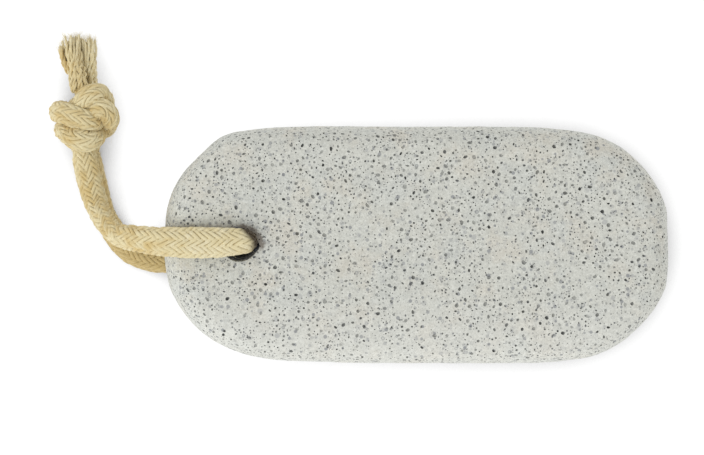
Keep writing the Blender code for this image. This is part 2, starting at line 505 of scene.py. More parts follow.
@dataclass(frozen=True)
class PumiceFinish:
    """Pale grey foamed rock, cut, with painted shade in its pores and down the hole, painted light towards
    its near edge, and a stain at the hole's rim.

    Attributes:
        face: the rock between its bubbles.
        warm, cool: the tints that wash over it.
        pale: the fine light grains.
        near_light_span: the places in Y between which painted light makes the rock paler towards the near
            edge.
        near_light_share: how much of the pale grey it gets there.
        pit_shade: the darkest that painted shade makes a bubble's wall.
        pit_shade_marks: painted shade of pores too small to cut, and the colour of each kind.
        shade_and_grime: the blue-black painted shade down the hole.
        stain: the brown that the cord left on the hole's rim.
        hole_centre: the middle of the hole, at its upper mouth.
        rim_span: the distances from that middle between which the rim's stain sets in.
        hole_span: those between which the rock is down the hole.
        hole_shade_span: the heights over the mouth between which that painted shade sets in.
        rub_line: how far to +Y of the hole's middle the cord's edge rubs on the face.
    """

    face: Colour = (0.655, 0.662, 0.605)
    warm: Colour = (0.665, 0.640, 0.560)
    cool: Colour = (0.635, 0.650, 0.605)
    pale: Colour = (0.78, 0.785, 0.735)
    near_light_span: Span = (-8 * MM, -21 * MM)
    near_light_share: float = 0.42
    pit_shade: Colour = (0.062, 0.067, 0.072)
    pit_shade_marks: tuple[tuple[PitShadeSpecks, Colour], ...] = (
        (PitShadeSpecks(560.0, 0.36, 0.42, 0.50), (0.36, 0.37, 0.375)),
        (PitShadeSpecks(760.0, 0.36, 0.50, 0.85), (0.28, 0.29, 0.30)),
        (PitShadeSpecks(690.0, 0.34, 0.26, 0.85, 0.8), (0.23, 0.24, 0.25)),
        (PitShadeSpecks(1250.0, 0.32, 0.58, 0.95), (0.145, 0.15, 0.155)),
        (PitShadeSpecks(2100.0, 0.34, 0.40, 0.85), (0.16, 0.16, 0.16)),
    )
    shade_and_grime: Colour = (0.12, 0.13, 0.155)
    stain: Colour = (0.10, 0.065, 0.038)
    hole_centre: Place = (-37.6 * MM, 0.1 * MM, 24.7 * MM)
    rim_span: Span = (5.9 * MM, 5.1 * MM)
    hole_span: Span = (6.6 * MM, 6.0 * MM)
    hole_shade_span: Span = (0.7 * MM, -0.6 * MM)
    rub_line: float = 3.75 * MM

    def material(self) -> bpy.types.Material:
        """Build the rock's material.

        Returns:
            The material. It reads the mesh's attribute "pore", the painted shade of the pores' walls,
            which is 0 on the cut faces.
        """
        shader = Shader("foamed_rock")
        where = shader.add("ShaderNodeTexCoord").outputs["Object"]
        wash = shader.between(shader.noise(where, 130.0, 4.0, 0.6), 0.45, 0.68, 0.0, 0.8)
        colour = shader.blend(wash, self.face, self.warm)
        elsewhere = shader.about(where, (0.3, 0.1, 0.2))
        chill = shader.between(shader.noise(elsewhere, 150.0, 4.0, 0.6), 0.45, 0.68)
        colour = shader.blend(chill, colour, self.cool)
        grain = shader.noise(where, 2400.0, 3.0, 0.7)
        mottle = shader.noise(where, 800.0, 3.0, 0.65)
        colour = shader.blend(shader.between(grain, 0.52, 0.72, 0.0, 0.75), colour, self.pale)
        # Painted light: the rock is painted paler towards the near edge, as the light from the lower left
        # falls there.
        near_light = shader.between(shader.parts(where)[1], *self.near_light_span, 0.0, self.near_light_share)
        colour = shader.blend(near_light, colour, self.pale)
        fine = shader.between(grain, 0.28, 0.60, 0.84, 1.0)
        uneven = shader.maths("ADD", fine, shader.between(mottle, 0.30, 0.70, -0.07, 0.05))
        colour = shader.blend(1.0, colour, self.grey(shader, uneven), "MULTIPLY")
        # Painted shade of pores too small to cut: dark discs and rings laid on the rock.
        for pit_shade_marks, shade in self.pit_shade_marks:
            colour = shader.blend(pit_shade_marks.strength(shader, where), colour, shade)
        # Painted shade in the pores: their walls are darkened, deeper parts more.
        pore = shader.attribute("pore")
        colour = shader.blend(pore, colour, self.pit_shade)
        colour = self.stain_and_hole_shade(shader, where, colour)
        shader.feed(shader.surface, "Base Color", colour)
        shader.surface.inputs["Roughness"].default_value = 0.93
        shader.surface.inputs["Specular IOR Level"].default_value = 0.25
        relief = shader.maths("ADD", shader.maths("MULTIPLY", grain, 0.7), mottle)
        shader.bump(relief, 0.12 * MM)
        return shader.material

    @staticmethod
    def grey(shader: Shader, value: Socket) -> Socket:
        """Turn a number into a grey.

        Args:
            shader: the material's nodes.
            value: the number.

        Returns:
            The colour.
        """
        node = shader.add("ShaderNodeCombineColor")
        for channel in range(3):
            shader.feed(node, channel, value)
        return node.outputs[0]

    def stain_and_hole_shade(self, shader: Shader, where: Socket, colour: object) -> Socket:
        """Stain the hole's rim and paint shade down the hole.

        Args:
            shader: the material's nodes.
            where: the coordinates.
            colour: the clean rock's colour.

        Returns:
            The stained rock's colour, with the painted shade down the hole.
        """
        x, y, z = shader.parts(shader.about(where, self.hole_centre))
        squares = shader.maths("ADD", shader.maths("POWER", x, 2.0), shader.maths("POWER", y, 2.0))
        sideways = shader.maths("SQRT", squares)
        ragged = shader.maths("MULTIPLY", shader.noise(where, 800.0, 4.0, 0.7), 2.4 * MM)
        rim = shader.between(shader.maths("ADD", sideways, ragged), *self.rim_span, 0.0, 0.7)
        worn_side = shader.between(y, -1.8 * MM, -0.2 * MM, 0.10, 1.0)
        colour = shader.blend(shader.maths("MULTIPLY", rim, worn_side), colour, self.stain)
        off_line = shader.maths("ABSOLUTE", shader.maths("SUBTRACT", y, self.rub_line))
        line = shader.between(shader.maths("ADD", off_line, ragged), 2.2 * MM, 1.1 * MM, 0.0, 0.5)
        under_cord = shader.between(x, 2.0 * MM, -1.0 * MM)
        colour = shader.blend(shader.maths("MULTIPLY", line, under_cord), colour, self.stain)
        # Painted shade: the rock turns blue-black down the hole, darker deeper in.
        height = shader.maths("MULTIPLY_ADD", x, 0.054, z)
        below = shader.between(shader.maths("MULTIPLY_ADD", ragged, 0.4, height), *self.hole_shade_span)
        inside = shader.between(sideways, *self.hole_span)
        speckled = shader.between(shader.noise(where, 1500.0, 3.0, 0.7), 0.42, 0.66, 1.0, 0.72)
        inside = shader.maths("MULTIPLY", inside, speckled)
        return shader.blend(shader.maths("MULTIPLY", inside, below), colour, self.shade_and_grime)


@dataclass(frozen=True)
class CottonFinish:
    """Unbleached cotton yarn, matt, with painted shade darkening its gaps and ply grooves to golden brown.

    Attributes:
        name: the material's name.
        crown: the yarn where it stands out.
        pale, gold: the colours that yarns lean to.
        gap_shade: the painted shade between the yarns.
        gap_shade_span: the depths between which that painted shade sets in.
        gap_shade_share: how much of it there is at the deepest.
        groove_span: how far from a ply's middle, in plies, its groove starts and is deepest.
        groove_share: how much of that painted shade lies in the groove between plies.
        shade_and_grime: the dark brown laid on at the cord's end past the hole's rim, and as painted shade
            down the hole and under the upper half.
    """

    name: str = "unbleached_cotton"
    crown: Colour = (0.81, 0.725, 0.465)
    pale: Colour = (0.84, 0.775, 0.545)
    gold: Colour = (0.68, 0.53, 0.25)
    gap_shade: Colour = (0.40, 0.265, 0.085)
    gap_shade_span: Span = (0.28, 0.95)
    gap_shade_share: float = 0.80
    groove_span: Span = (0.36, 0.5)
    groove_share: float = 0.22
    shade_and_grime: Colour = (0.045, 0.027, 0.010)

    def material(self) -> bpy.types.Material:
        """Build the yarn's material.

        Returns:
            The material. It reads the mesh's attributes "gap", "tint", "gold" and "soil" and its
            UV map "yarn".
        """
        shader = Shader(self.name)
        where = shader.add("ShaderNodeTexCoord").outputs["Object"]
        drift = shader.noise(where, 170.0, 2.0)
        lean = shader.maths("ADD", shader.attribute("tint"), shader.between(drift, 0.3, 0.7, -0.4, 0.4))
        colour = shader.blend(shader.between(lean, 0.0, 1.0), self.crown, self.pale)
        colour = shader.blend(shader.between(lean, 0.0, -1.0), colour, self.gold)
        yarn = shader.add("ShaderNodeUVMap", uv_map="yarn").outputs[0]
        fibre = shader.noise(yarn, 1.0, 3.0, 0.6)
        colour = shader.blend(shader.between(fibre, 0.60, 0.36, 0.0, 0.45), colour, self.gold)
        colour = shader.blend(shader.attribute("gold"), colour, self.gold)
        # Painted shade: the groove between the plies is darkened.
        ply = shader.maths("FRACT", shader.maths("DIVIDE", shader.parts(yarn)[0], PLY_GRAINS))
        off_middle = shader.maths("ABSOLUTE", shader.maths("SUBTRACT", ply, 0.5))
        groove = shader.between(off_middle, *self.groove_span, 0.0, self.groove_share)
        colour = shader.blend(groove, colour, self.gap_shade)
        # Painted shade: the deeper between the yarns, the darker and more golden brown.
        gap_shade = shader.between(shader.attribute("gap_shade"), *self.gap_shade_span, 0.0, self.gap_shade_share)
        colour = shader.blend(gap_shade, colour, self.gap_shade)
        # Dark brown at the cord's end past the hole's rim, and painted shade down the hole and under the
        # upper half.
        colour = shader.blend(shader.attribute("soil_and_shade"), colour, self.shade_and_grime)
        shader.feed(shader.surface, "Base Color", colour)
        shader.surface.inputs["Roughness"].default_value = 0.95
        shader.surface.inputs["Specular IOR Level"].default_value = 0.15
        shader.surface.inputs["Sheen Weight"].default_value = 0.25
        shader.surface.inputs["Sheen Roughness"].default_value = 0.5
        shader.surface.inputs["Sheen Tint"].default_value = (1.0, 0.96, 0.86, 1.0)
        shader.bump(fibre, 0.09 * MM)
        return shader.material


@dataclass(frozen=True)
class PaperFinish:
    """The white sweep that the stone lies on, glowing as a light table does, its glow darkened by painted
    shadow where near things cover its sky.

    Attributes:
        colour: the sheet's own colour.
        reach: how far off a thing can be and still shade the sheet.
        lean: the way that the painted shadow's light is taken to come from, so that the painted shadow
            falls on the other side.
        shade: the painted shadow, as how bright the sheet glows at each share of open sky.
        deep_reach: how far off a thing can be and still close a deep hole over the sheet.
        deep_shade: the shares of open sky between which the painted shadow under a deep hole goes from
            black to the full glow.
    """

    colour: Colour = (0.05, 0.05, 0.05)
    reach: float = 10 * MM
    lean: Place = (-0.16, 0.0, 0.985)
    shade: tuple[Span, ...] = (
        (0.0, 0.0), (0.15, 0.14), (0.30, 0.36), (0.44, 0.56), (0.50, 0.68), (0.55, 0.78),
        (0.59, 0.87), (0.63, 0.93), (0.67, 0.965), (0.72, 0.985), (0.78, 1.02),
    )
    deep_reach: float = 60 * MM
    deep_shade: Span = (0.02, 0.20)

    def material(self) -> bpy.types.Material:
        """Build the sweep's material.

        Returns:
            The material.
        """
        shader = Shader("white_sweep")
        lean = shader.add("ShaderNodeCombineXYZ")
        for axis, value in enumerate(self.lean):
            lean.inputs[axis].default_value = value
        curve_node = shader.add("ShaderNodeFloatCurve")
        curve_node.mapping.use_clip = False
        curve = curve_node.mapping.curves[0]
        for point, place in zip(curve.points, (self.shade[0], self.shade[-1])):
            point.location = place
        for place in self.shade[1:-1]:
            curve.points.new(*place)
        curve_node.mapping.update()
        # Painted shadow: the glow fades where near things cover the sheet's sky, and goes black under the
        # deep hole.
        shader.feed(curve_node, "Value", self.open_sky(shader, self.reach, lean.outputs[0]))
        deep = shader.between(self.open_sky(shader, self.deep_reach, lean.outputs[0]), *self.deep_shade)
        glow_with_painted_shadow = shader.maths("MULTIPLY", curve_node.outputs[0], deep)
        shader.feed(shader.surface, "Emission Strength", glow_with_painted_shadow)
        shader.surface.inputs["Emission Color"].default_value = (1.0, 1.0, 1.0, 1.0)
        shader.surface.inputs["Base Color"].default_value = (*self.colour, 1.0)
        shader.surface.inputs["Roughness"].default_value = 1.0
        shader.surface.inputs["Specular IOR Level"].default_value = 0.0
        return shader.material

    @staticmethod
    def open_sky(shader: Shader, reach: float, lean: Socket) -> Socket:
        """Find the share of the sky that nothing near covers.

        Args:
            shader: the material's nodes.
            reach: how far off a thing may be and still cover it.
            lean: the way that the sky's middle lies.

        Returns:
            The share at each place.
        """
        node = shader.add("ShaderNodeAmbientOcclusion", samples=12)
        node.inputs["Distance"].default_value = reach
        shader.feed(node, "Normal", lean)
        return node.outputs["AO"]


# ---------------------------------------------------------------- camera, lights and floor


@dataclass(frozen=True)
class Studio:
    """A camera straight above a white sweep, under soft light from the lower left.

    Attributes:
        camera_place: where the camera is. It looks straight down, with Y up in its picture.
        seen_width: how much of the plane at focus_height fits across the picture.
        focus_height: the height of that plane.
        sensor: the width of the camera's sensor, in millimetres.
        floor_size: the side of the sweep.
        sky: the strength of the light from all around.
        key_place, key_size, key_power: the large soft light.
    """

    camera_place: Place = (-14.09 * MM, 3.79 * MM, 1512 * MM)
    seen_width: float = 154.25 * MM
    focus_height: float = 12 * MM
    sensor: float = 36.0
    floor_size: float = 8.0
    sky: float = 0.76
    key_place: Place = (-0.85, -0.65, 1.3)
    key_size: float = 0.8
    key_power: float = 8.5

    def build(self) -> None:
        """Make the camera, the lights and the sweep."""
        self.camera()
        self.light_all_round()
        self.key_light()
        self.sweep()
        bpy.context.scene.view_settings.view_transform = "Standard"

    def camera(self) -> None:
        """Add the camera and make it the scene's."""
        data = bpy.data.cameras.new("overhead")
        data.sensor_width = self.sensor
        distance = self.camera_place[2] - self.focus_height
        data.lens = distance * self.sensor / self.seen_width
        data.clip_end = 20.0
        camera = bpy.data.objects.new("overhead", data)
        camera.location = self.camera_place
        bpy.context.scene.collection.objects.link(camera)
        bpy.context.scene.camera = camera

    def light_all_round(self) -> None:
        """Light the scene evenly from every side."""
        world = bpy.data.worlds.new("soft_room")
        world.use_nodes = True
        background = world.node_tree.nodes["Background"]
        background.inputs["Color"].default_value = (1.0, 1.0, 1.0, 1.0)
        background.inputs["Strength"].default_value = self.sky
        bpy.context.scene.world = world

    def key_light(self) -> None:
        """Add the large soft light, aimed at the object."""
        data = bpy.data.lights.new("key", "AREA")
        data.shape = "DISK"
        data.size = self.key_size
        data.energy = self.key_power
        light = bpy.data.objects.new("key", data)
        light.location = self.key_place
        aim = Vector((0.0, 0.0, 0.0)) - Vector(self.key_place)
        light.rotation_euler = aim.to_track_quat("-Z", "Y").to_euler()
        bpy.context.scene.collection.objects.link(light)

    def sweep(self) -> None:
        """Lay the white sweep at floor height."""
        deselect_all()
        bpy.ops.mesh.primitive_plane_add(size=self.floor_size, location=(0, 0, 0))
        floor = bpy.context.object
        floor.name = "sweep"
        floor.data.materials.append(PaperFinish().material())


# ---------------------------------------------------------------- the braid


@dataclass
class Route:
    """Where a cord goes, and how wide and thick it is there.

    Attributes:
        line: rows of X, Y, Z, half the section's width and half its thickness.
        thin_way: for each row, the direction across the section's thickness.
    """

    line: np.ndarray
    thin_way: np.ndarray

    @classmethod
    def lying(cls, line: np.ndarray) -> "Route":
        """Turn each section's thin way up as far as the cord's direction allows.

        Args:
            line: the rows, evenly spaced.

        Returns:
            The route. Where the cord stands upright its section turns evenly between its neighbours'.
        """
        tangents, across, partner = line_frames(line)
        up = np.array([0.0, 0.0, 1.0]) - tangents[:, 2:] * tangents
        clear = np.linalg.norm(up, axis=1) > 0.45
        angle = np.arctan2((up * partner).sum(1), (up * across).sum(1))
        half_turns = np.unwrap(angle[clear], period=math.pi)
        places = np.arange(len(line))
        angle = np.interp(places, places[clear], half_turns)[:, None]
        return cls(line, np.cos(angle) * across + np.sin(angle) * partner)


@dataclass(frozen=True)
class Unevenness:
    """A smooth, random rise and fall over the skin of a braid, the same where the skin meets itself.

    Attributes:
        seed: where its waves are drawn from.
        around: the most waves that fit round the skin.
        along: the most waves to a turn of the yarns.
        waves: how many waves are laid over each other.
    """

    seed: int
    around: int
    along: float
    waves: int = 14

    def over(self, u: np.ndarray, v: np.ndarray) -> np.ndarray:
        """Return its value, mostly between -1 and 1, at places round and along the skin.

        Args:
            u: the place round the skin, in turns.
            v: the place along it, in turns of the yarns.

        Returns:
            The value at each place.
        """
        draw = np.random.default_rng(self.seed)
        total = np.zeros(np.broadcast(u, v).shape)
        for _ in range(self.waves):
            turns = draw.integers(-self.around, self.around + 1)
            rate, start = draw.uniform(-self.along, self.along), draw.uniform(0, 1)
            total += np.sin(2 * math.pi * (turns * u + rate * v + start))
        return total / math.sqrt(self.waves)


@dataclass(frozen=True)
class Braid:
    """A tubular braid of two-ply yarns, as one closed skin whose mesh follows the yarns.

    Attributes:
        carriers: how many yarns wind each way.
        floats: how many yarns one passes over, and then under.
        lead: how far along the cord a yarn goes in one turn.
        steps: mesh steps across a yarn.
        wave: how far a yarn rises and sinks from the middle as it goes over and under.
        crown: how far a yarn's middle stands out from its edges.
        ply_share: how much of the crown is each ply's own.
        lift: how far floats stand higher or lower than their neighbours.
        drift: how far yarns stray from their even places.
        yarn_shades: how far one yarn's shade is from the middle, at most.
        patches: how strongly the shade drifts from place to place.
        plain_shade: the shade off the stone, from golden below 0 to pale above it.
        stone_shade: how much paler it is where it lies on the stone.
        stone_from, stone_over: the place in X where that begins, and how far on it is whole.
    """

    carriers: int = 15
    floats: int = 3
    lead: float = 23.0 * MM
    steps: int = 5
    wave: float = 0.24 * MM
    crown: float = 0.48 * MM
    ply_share: float = 0.42
    lift: float = 0.07 * MM
    drift: float = 0.16 * MM
    yarn_shades: float = 0.25
    patches: float = 0.28
    plain_shade: float = -0.40
    stone_shade: float = 0.8
    stone_from: float = -56 * MM
    stone_over: float = 6 * MM

    def layer(self, own: np.ndarray, other: np.ndarray, shift: int) -> tuple[np.ndarray, np.ndarray]:
        """Work out the height of the yarns that wind one way.

        Args:
            own: the place across these yarns, in yarns.
            other: the place across the yarns that wind the other way.
            shift: where these yarns start in the over-and-under.

        Returns:
            Each place's height above the braid's middle, and the index of its yarn.
        """
        yarn = np.floor(own)
        phase = np.mod(yarn + other + shift, 2 * self.floats)
        rise = np.cos(math.pi * (phase - self.floats / 2) / self.floats)
        rise = np.sign(rise) * np.abs(rise) ** 0.7
        whole = np.sqrt(np.clip(1 - (2 * (own - yarn) - 1) ** 2, 0, 1))
        ply = np.sqrt(np.clip(1 - (2 * np.mod(2 * own, 1) - 1) ** 2, 0, 1))
        crown = self.crown * ((1 - self.ply_share) * whole + self.ply_share * ply)
        return self.wave * rise + crown, yarn

    def relief(self, right: np.ndarray, left: np.ndarray) -> tuple[np.ndarray, np.ndarray, np.ndarray]:
        """Work out the skin's height where the two sets of yarns cross.

        Args:
            right: the place across the yarns that wind to the right, in yarns.
            left: the same for those that wind to the left.

        Returns:
            The height, whether a right-hand yarn is on top, and the index of the yarn on top.
        """
        nudge = 1e-4
        heights, tops, yarns = [], [], []
        for side in (-nudge, nudge):
            over, yarn = self.layer(right + side, left + side, 0)
            under, other_yarn = self.layer(left + side, right + side, self.floats)
            heights.append(np.maximum(over, under))
            tops.append(over > under)
            yarns.append(np.where(over > under, yarn, other_yarn))
        return (heights[0] + heights[1]) / 2, tops[0], yarns[0]

    def rings_along(self, line: np.ndarray) -> np.ndarray:
        """Space the rings of mesh evenly in turns of the yarns.

        Args:
            line: the route's rows.

        Returns:
            Each ring's distance along it.
        """
        places = run_length(line)
        count = int(places[-1] / self.lead * 2 * self.carriers * self.steps)
        return np.linspace(0.0, places[-1], count)

    def skin(self, name: str, route: Route, seed: int, turned: float) -> Piece:
        """Sweep the braid along a route.

        Args:
            name: the piece's name.
            route: where it goes.
            seed: where its yarns' shades and unevenness are drawn from.
            turned: how far round the pattern starts, in turns.

        Returns:
            The closed mesh, with its attributes "gap" and "tint" and its UV map "yarn".
        """
        places = self.rings_along(route.line)
        rows = at_lengths(route.line, places)
        along = run_length(route.line)
        thin = unit(np.column_stack([np.interp(places, along, c) for c in route.thin_way.T]))
        tangents, across, partner = line_frames(rows)
        wide = np.cross(tangents, thin)
        lean = np.unwrap(np.arctan2((wide * partner).sum(1), (wide * across).sum(1)))
        rings, around = len(places), self.carriers * self.steps
        ring, spot = np.meshgrid(np.arange(rings), np.arange(around), indexing="ij")
        u = (2 * spot + ring % 2) / (2 * around)
        v = ring / (2 * around)
        right, left = self.carriers * (u - v), self.carriers * (u + v)
        height, on_top, yarn = self.relief(right, left)
        height += self.lift * Unevenness(seed, 9, 9.0).over(u, v)
        top = self.wave + self.crown
        half_wide, half_thin = rows[:, 3:4], rows[:, 4:5]
        stray = self.drift * Unevenness(seed + 1, 4, 5.0).over(u, v) / (half_wide + half_thin) * 2
        slip = self.drift * Unevenness(seed + 2, 4, 5.0).over(u, v)
        section_turn = 2 * math.pi * (u + turned) - lean[:, None] + stray
        even = self.even_angle(section_turn, half_wide, half_thin)
        cosine, sine = np.cos(even)[..., None], np.sin(even)[..., None]
        base = half_wide[..., None] * cosine * wide[:, None] + half_thin[..., None] * sine * thin[:, None]
        outward = unit(
            half_thin[..., None] * cosine * wide[:, None] + half_wide[..., None] * sine * thin[:, None]
        )
        skin = rows[:, None, :3] + base + outward * (height - top)[..., None]
        skin += tangents[:, None] * slip[..., None]
        points = np.vstack([skin.reshape(-1, 3), rows[0, :3], rows[-1, :3]])
        triangles = self.lattice(rings, around)
        piece = mesh_object(name, points, triangles)
        spread = self.yarn_shades
        shades = np.random.default_rng(seed).uniform(-spread, spread, 2 * self.carriers)
        index = np.mod(yarn, self.carriers).astype(int) + np.where(on_top, 0, self.carriers)
        on_stone = ramp(rows[:, :1], self.stone_from, self.stone_over)
        patches = self.patches * Unevenness(seed + 3, 8, 8.0).over(u, v)
        patches += self.stone_shade * on_stone + self.plain_shade
        ends = [0.0, 0.0]
        point_attribute(piece, "tint", np.concatenate([(shades[index] + patches).ravel(), ends]))
        # Painted shade: the deeper a point lies between the yarns, the darker its colour.
        depth = np.clip((top - height) / (top + 0.1 * self.wave), 0, 1)
        point_attribute(piece, "gap_shade", np.concatenate([depth.ravel(), ends]))
        self.yarn_map(piece, triangles, right.ravel(), left.ravel(), on_top.ravel())
        return piece

    @staticmethod
    def even_angle(turn: np.ndarray, wide: np.ndarray, thin: np.ndarray) -> np.ndarray:
        """Turn a share of an ellipse's girth into its own angle, so that yarns keep an even width."""
        squash = (wide - thin) / (wide + thin)
        return turn + 0.5 * squash * np.sin(2 * turn)

    @staticmethod
    def lattice(rings: int, around: int) -> np.ndarray:
        """Index the diamonds between rings that are half a step out of line with their neighbours.

        Args:
            rings: how many rings there are.
            around: points in each ring; the two end points come last.

        Returns:
            The triangles as rows of three indices, facing out.
        """
        ring, spot = (g.ravel() for g in np.meshgrid(np.arange(rings), np.arange(around), indexing="ij"))
        right = ring * around + (spot + 1) % around
        here = ring * around + spot
        beyond = (spot + ring % 2) % around
        above = (ring + 1) * around + beyond
        below = (ring - 1) * around + beyond
        up = ring < rings - 1
        down = ring > 0
        upper = np.column_stack([here, right, above])[up]
        lower = np.column_stack([right, here, below])[down]
        start, end = rings * around, rings * around + 1
        first = np.column_stack([right, here, np.full(len(here), start)])[ring == 0]
        last = np.column_stack([here, right, np.full(len(here), end)])[ring == rings - 1]
        return np.concatenate([upper, lower, first, last])

    def yarn_map(
        self,
        piece: Piece,
        triangles: np.ndarray,
        right: np.ndarray,
        left: np.ndarray,
        on_top: np.ndarray,
    ) -> None:
        """Unwrap the skin so that U runs across the yarn on top and V along it.

        Args:
            piece: the braid's mesh.
            triangles: its triangles.
            right: each point's place across the right-hand yarns.
            left: each point's place across the left-hand yarns.
            on_top: whether a right-hand yarn is on top there.
        """
        pad = np.zeros(2)
        right, left = np.concatenate([right, pad]), np.concatenate([left, pad])
        right, left = right[triangles], left[triangles]
        for values in (right, left):
            values += self.carriers * np.round((values[:, :1] - values) / self.carriers)
        own = np.concatenate([on_top, [True, True]])[triangles[:, 0]][:, None]
        across, along = np.where(own, right, left), np.where(own, left, right)
        uv = np.stack([across * 2 * PLY_GRAINS, along * CROSSING_GRAINS], axis=2)
        layer = piece.data.uv_layers.new(name="yarn")
        layer.data.foreach_set("uv", uv.reshape(-1).astype(np.float32))


# ---------------------------------------------------------------- the cord


class Half(Enum):
    """The two halves of the cord, by how they leave the hole."""

    UPPER = "upper"
    LOWER = "lower"


@dataclass(frozen=True)
class KnotSettling:
    """How the two halves press against each other where they are tied.

    Attributes:
        spacing: distance between the points that are moved.
        closeness: how near two centrelines may come, as a share of their two half thicknesses.
        rounds: how often everything is moved.
        firm, loose: how strongly an outer point and an inner one return to their designed places.
        outer_width: the half width from which a point counts as an outer one.
        slack: the stretch of its own cord that a point ignores, in points.
        push: how much of an overlap is taken up in a round.
        ease: how much of a bend is straightened in a round.
    """

    spacing: float = 0.8 * MM
    closeness: float = 0.92
    rounds: int = 200
    firm: float = 0.24
    loose: float = 0.04
    outer_width: float = 2.2 * MM
    slack: int = 8
    push: float = 0.45
    ease: float = 0.30

    def settle(self, lines: list[np.ndarray], held: list[np.ndarray]) -> list[np.ndarray]:
        """Move the lines' points until they clear each other.

        Args:
            lines: rows of X, Y, Z, half width and half thickness, evenly spaced.
            held: for each line, where a row may not move at all.

        Returns:
            The lines with their points moved.
        """
        owner = np.concatenate([np.full(len(line), k) for k, line in enumerate(lines)])
        order = np.concatenate([np.arange(len(line)) for line in lines])
        fixed = np.concatenate(held)[:, None]
        everything = np.vstack(lines)
        design, thick = everything[:, :3], everything[:, 4]
        pull = np.where(everything[:, 3] > self.outer_width, self.firm, self.loose)[:, None]
        clearance = (thick[:, None] + thick) * self.closeness
        near = (owner[:, None] == owner) & (abs(order[:, None] - order) < self.slack)
        joined = owner[1:] == owner[:-1]
        inner = np.concatenate([[False], joined[1:] & joined[:-1], [False]])[:, None]
        floor = np.minimum(thick + 0.1 * MM, design[:, 2])
        points = design.copy()
        for _ in range(self.rounds):
            apart = points[:, None] - points[None]
            distance = np.linalg.norm(apart, axis=2)
            overlap = np.where(near, 0.0, np.clip(clearance - distance, 0.0, None))
            push = (apart / np.maximum(distance, 1e-6)[..., None] * overlap[..., None]).sum(1)
            push /= np.maximum((overlap > 0).sum(1), 1)[:, None]
            onward = points[1:] - points[:-1]
            bend = np.zeros_like(points)
            bend[1:-1] = (onward[1:] - onward[:-1]) / 2
            move = self.push * push + self.ease * bend * inner + pull * (design - points)
            points = np.where(fixed, design, points + move)
            points[:, 2] = np.maximum(points[:, 2], floor)
        settled, start = [], 0
        for line in lines:
            end = start + len(line)
            settled.append(np.column_stack([points[start:end], line[:, 3:]]))
            start = end
        return settled


def dress_fibres(
    piece: Piece,
    tint: np.ndarray,
    gap_shade: np.ndarray,
    gold: np.ndarray,
    around: np.ndarray,
    along: np.ndarray,
) -> None:
    """Store on loose fibres what the cotton's material reads.

    Args:
        piece: the fibres' mesh.
        tint: each point's lean to the pale or the golden shade.
        gap_shade: how deep each point lies between others, which sets its painted shade.
        gold: the share of gold.
        around: each point's place round its fibre, in turns.
        along: each point's distance along it.
    """
    point_attribute(piece, "tint", tint)
    point_attribute(piece, "gap_shade", gap_shade)
    point_attribute(piece, "gold", gold)
    point_attribute(piece, "soil_and_shade", np.zeros(len(tint)))
    corners = np.empty(len(piece.data.loops), np.int32)
    piece.data.loops.foreach_get("vertex_index", corners)
    u, v = around[corners].reshape(-1, 3), along[corners].reshape(-1, 3)
    u = u + np.round(u[:, :1] - u)
    layer = piece.data.uv_layers.new(name="yarn")
    uv = np.stack([u * FIBRE_GRAINS, v / GRAIN_LENGTH], axis=2)
    layer.data.foreach_set("uv", uv.reshape(-1).astype(np.float32))


def curled(
    starts: np.ndarray, ways: np.ndarray, lengths: np.ndarray, curl: np.ndarray, steps: int
) -> np.ndarray:
    """Draw curved fibres.

    Args:
        starts: where each begins.
        ways: the direction that each sets off in.
        lengths: how long each is.
        curl: the direction that each bends to, as long as its bend is strong.
        steps: how many points each gets.

    Returns:
        The paths, n by steps by 3.
    """
    share = np.linspace(0, 1, steps)[None, :, None]
    reach = lengths[:, None, None]
    return starts[:, None] + reach * (share * ways[:, None] + 0.5 * share**2 * curl[:, None])


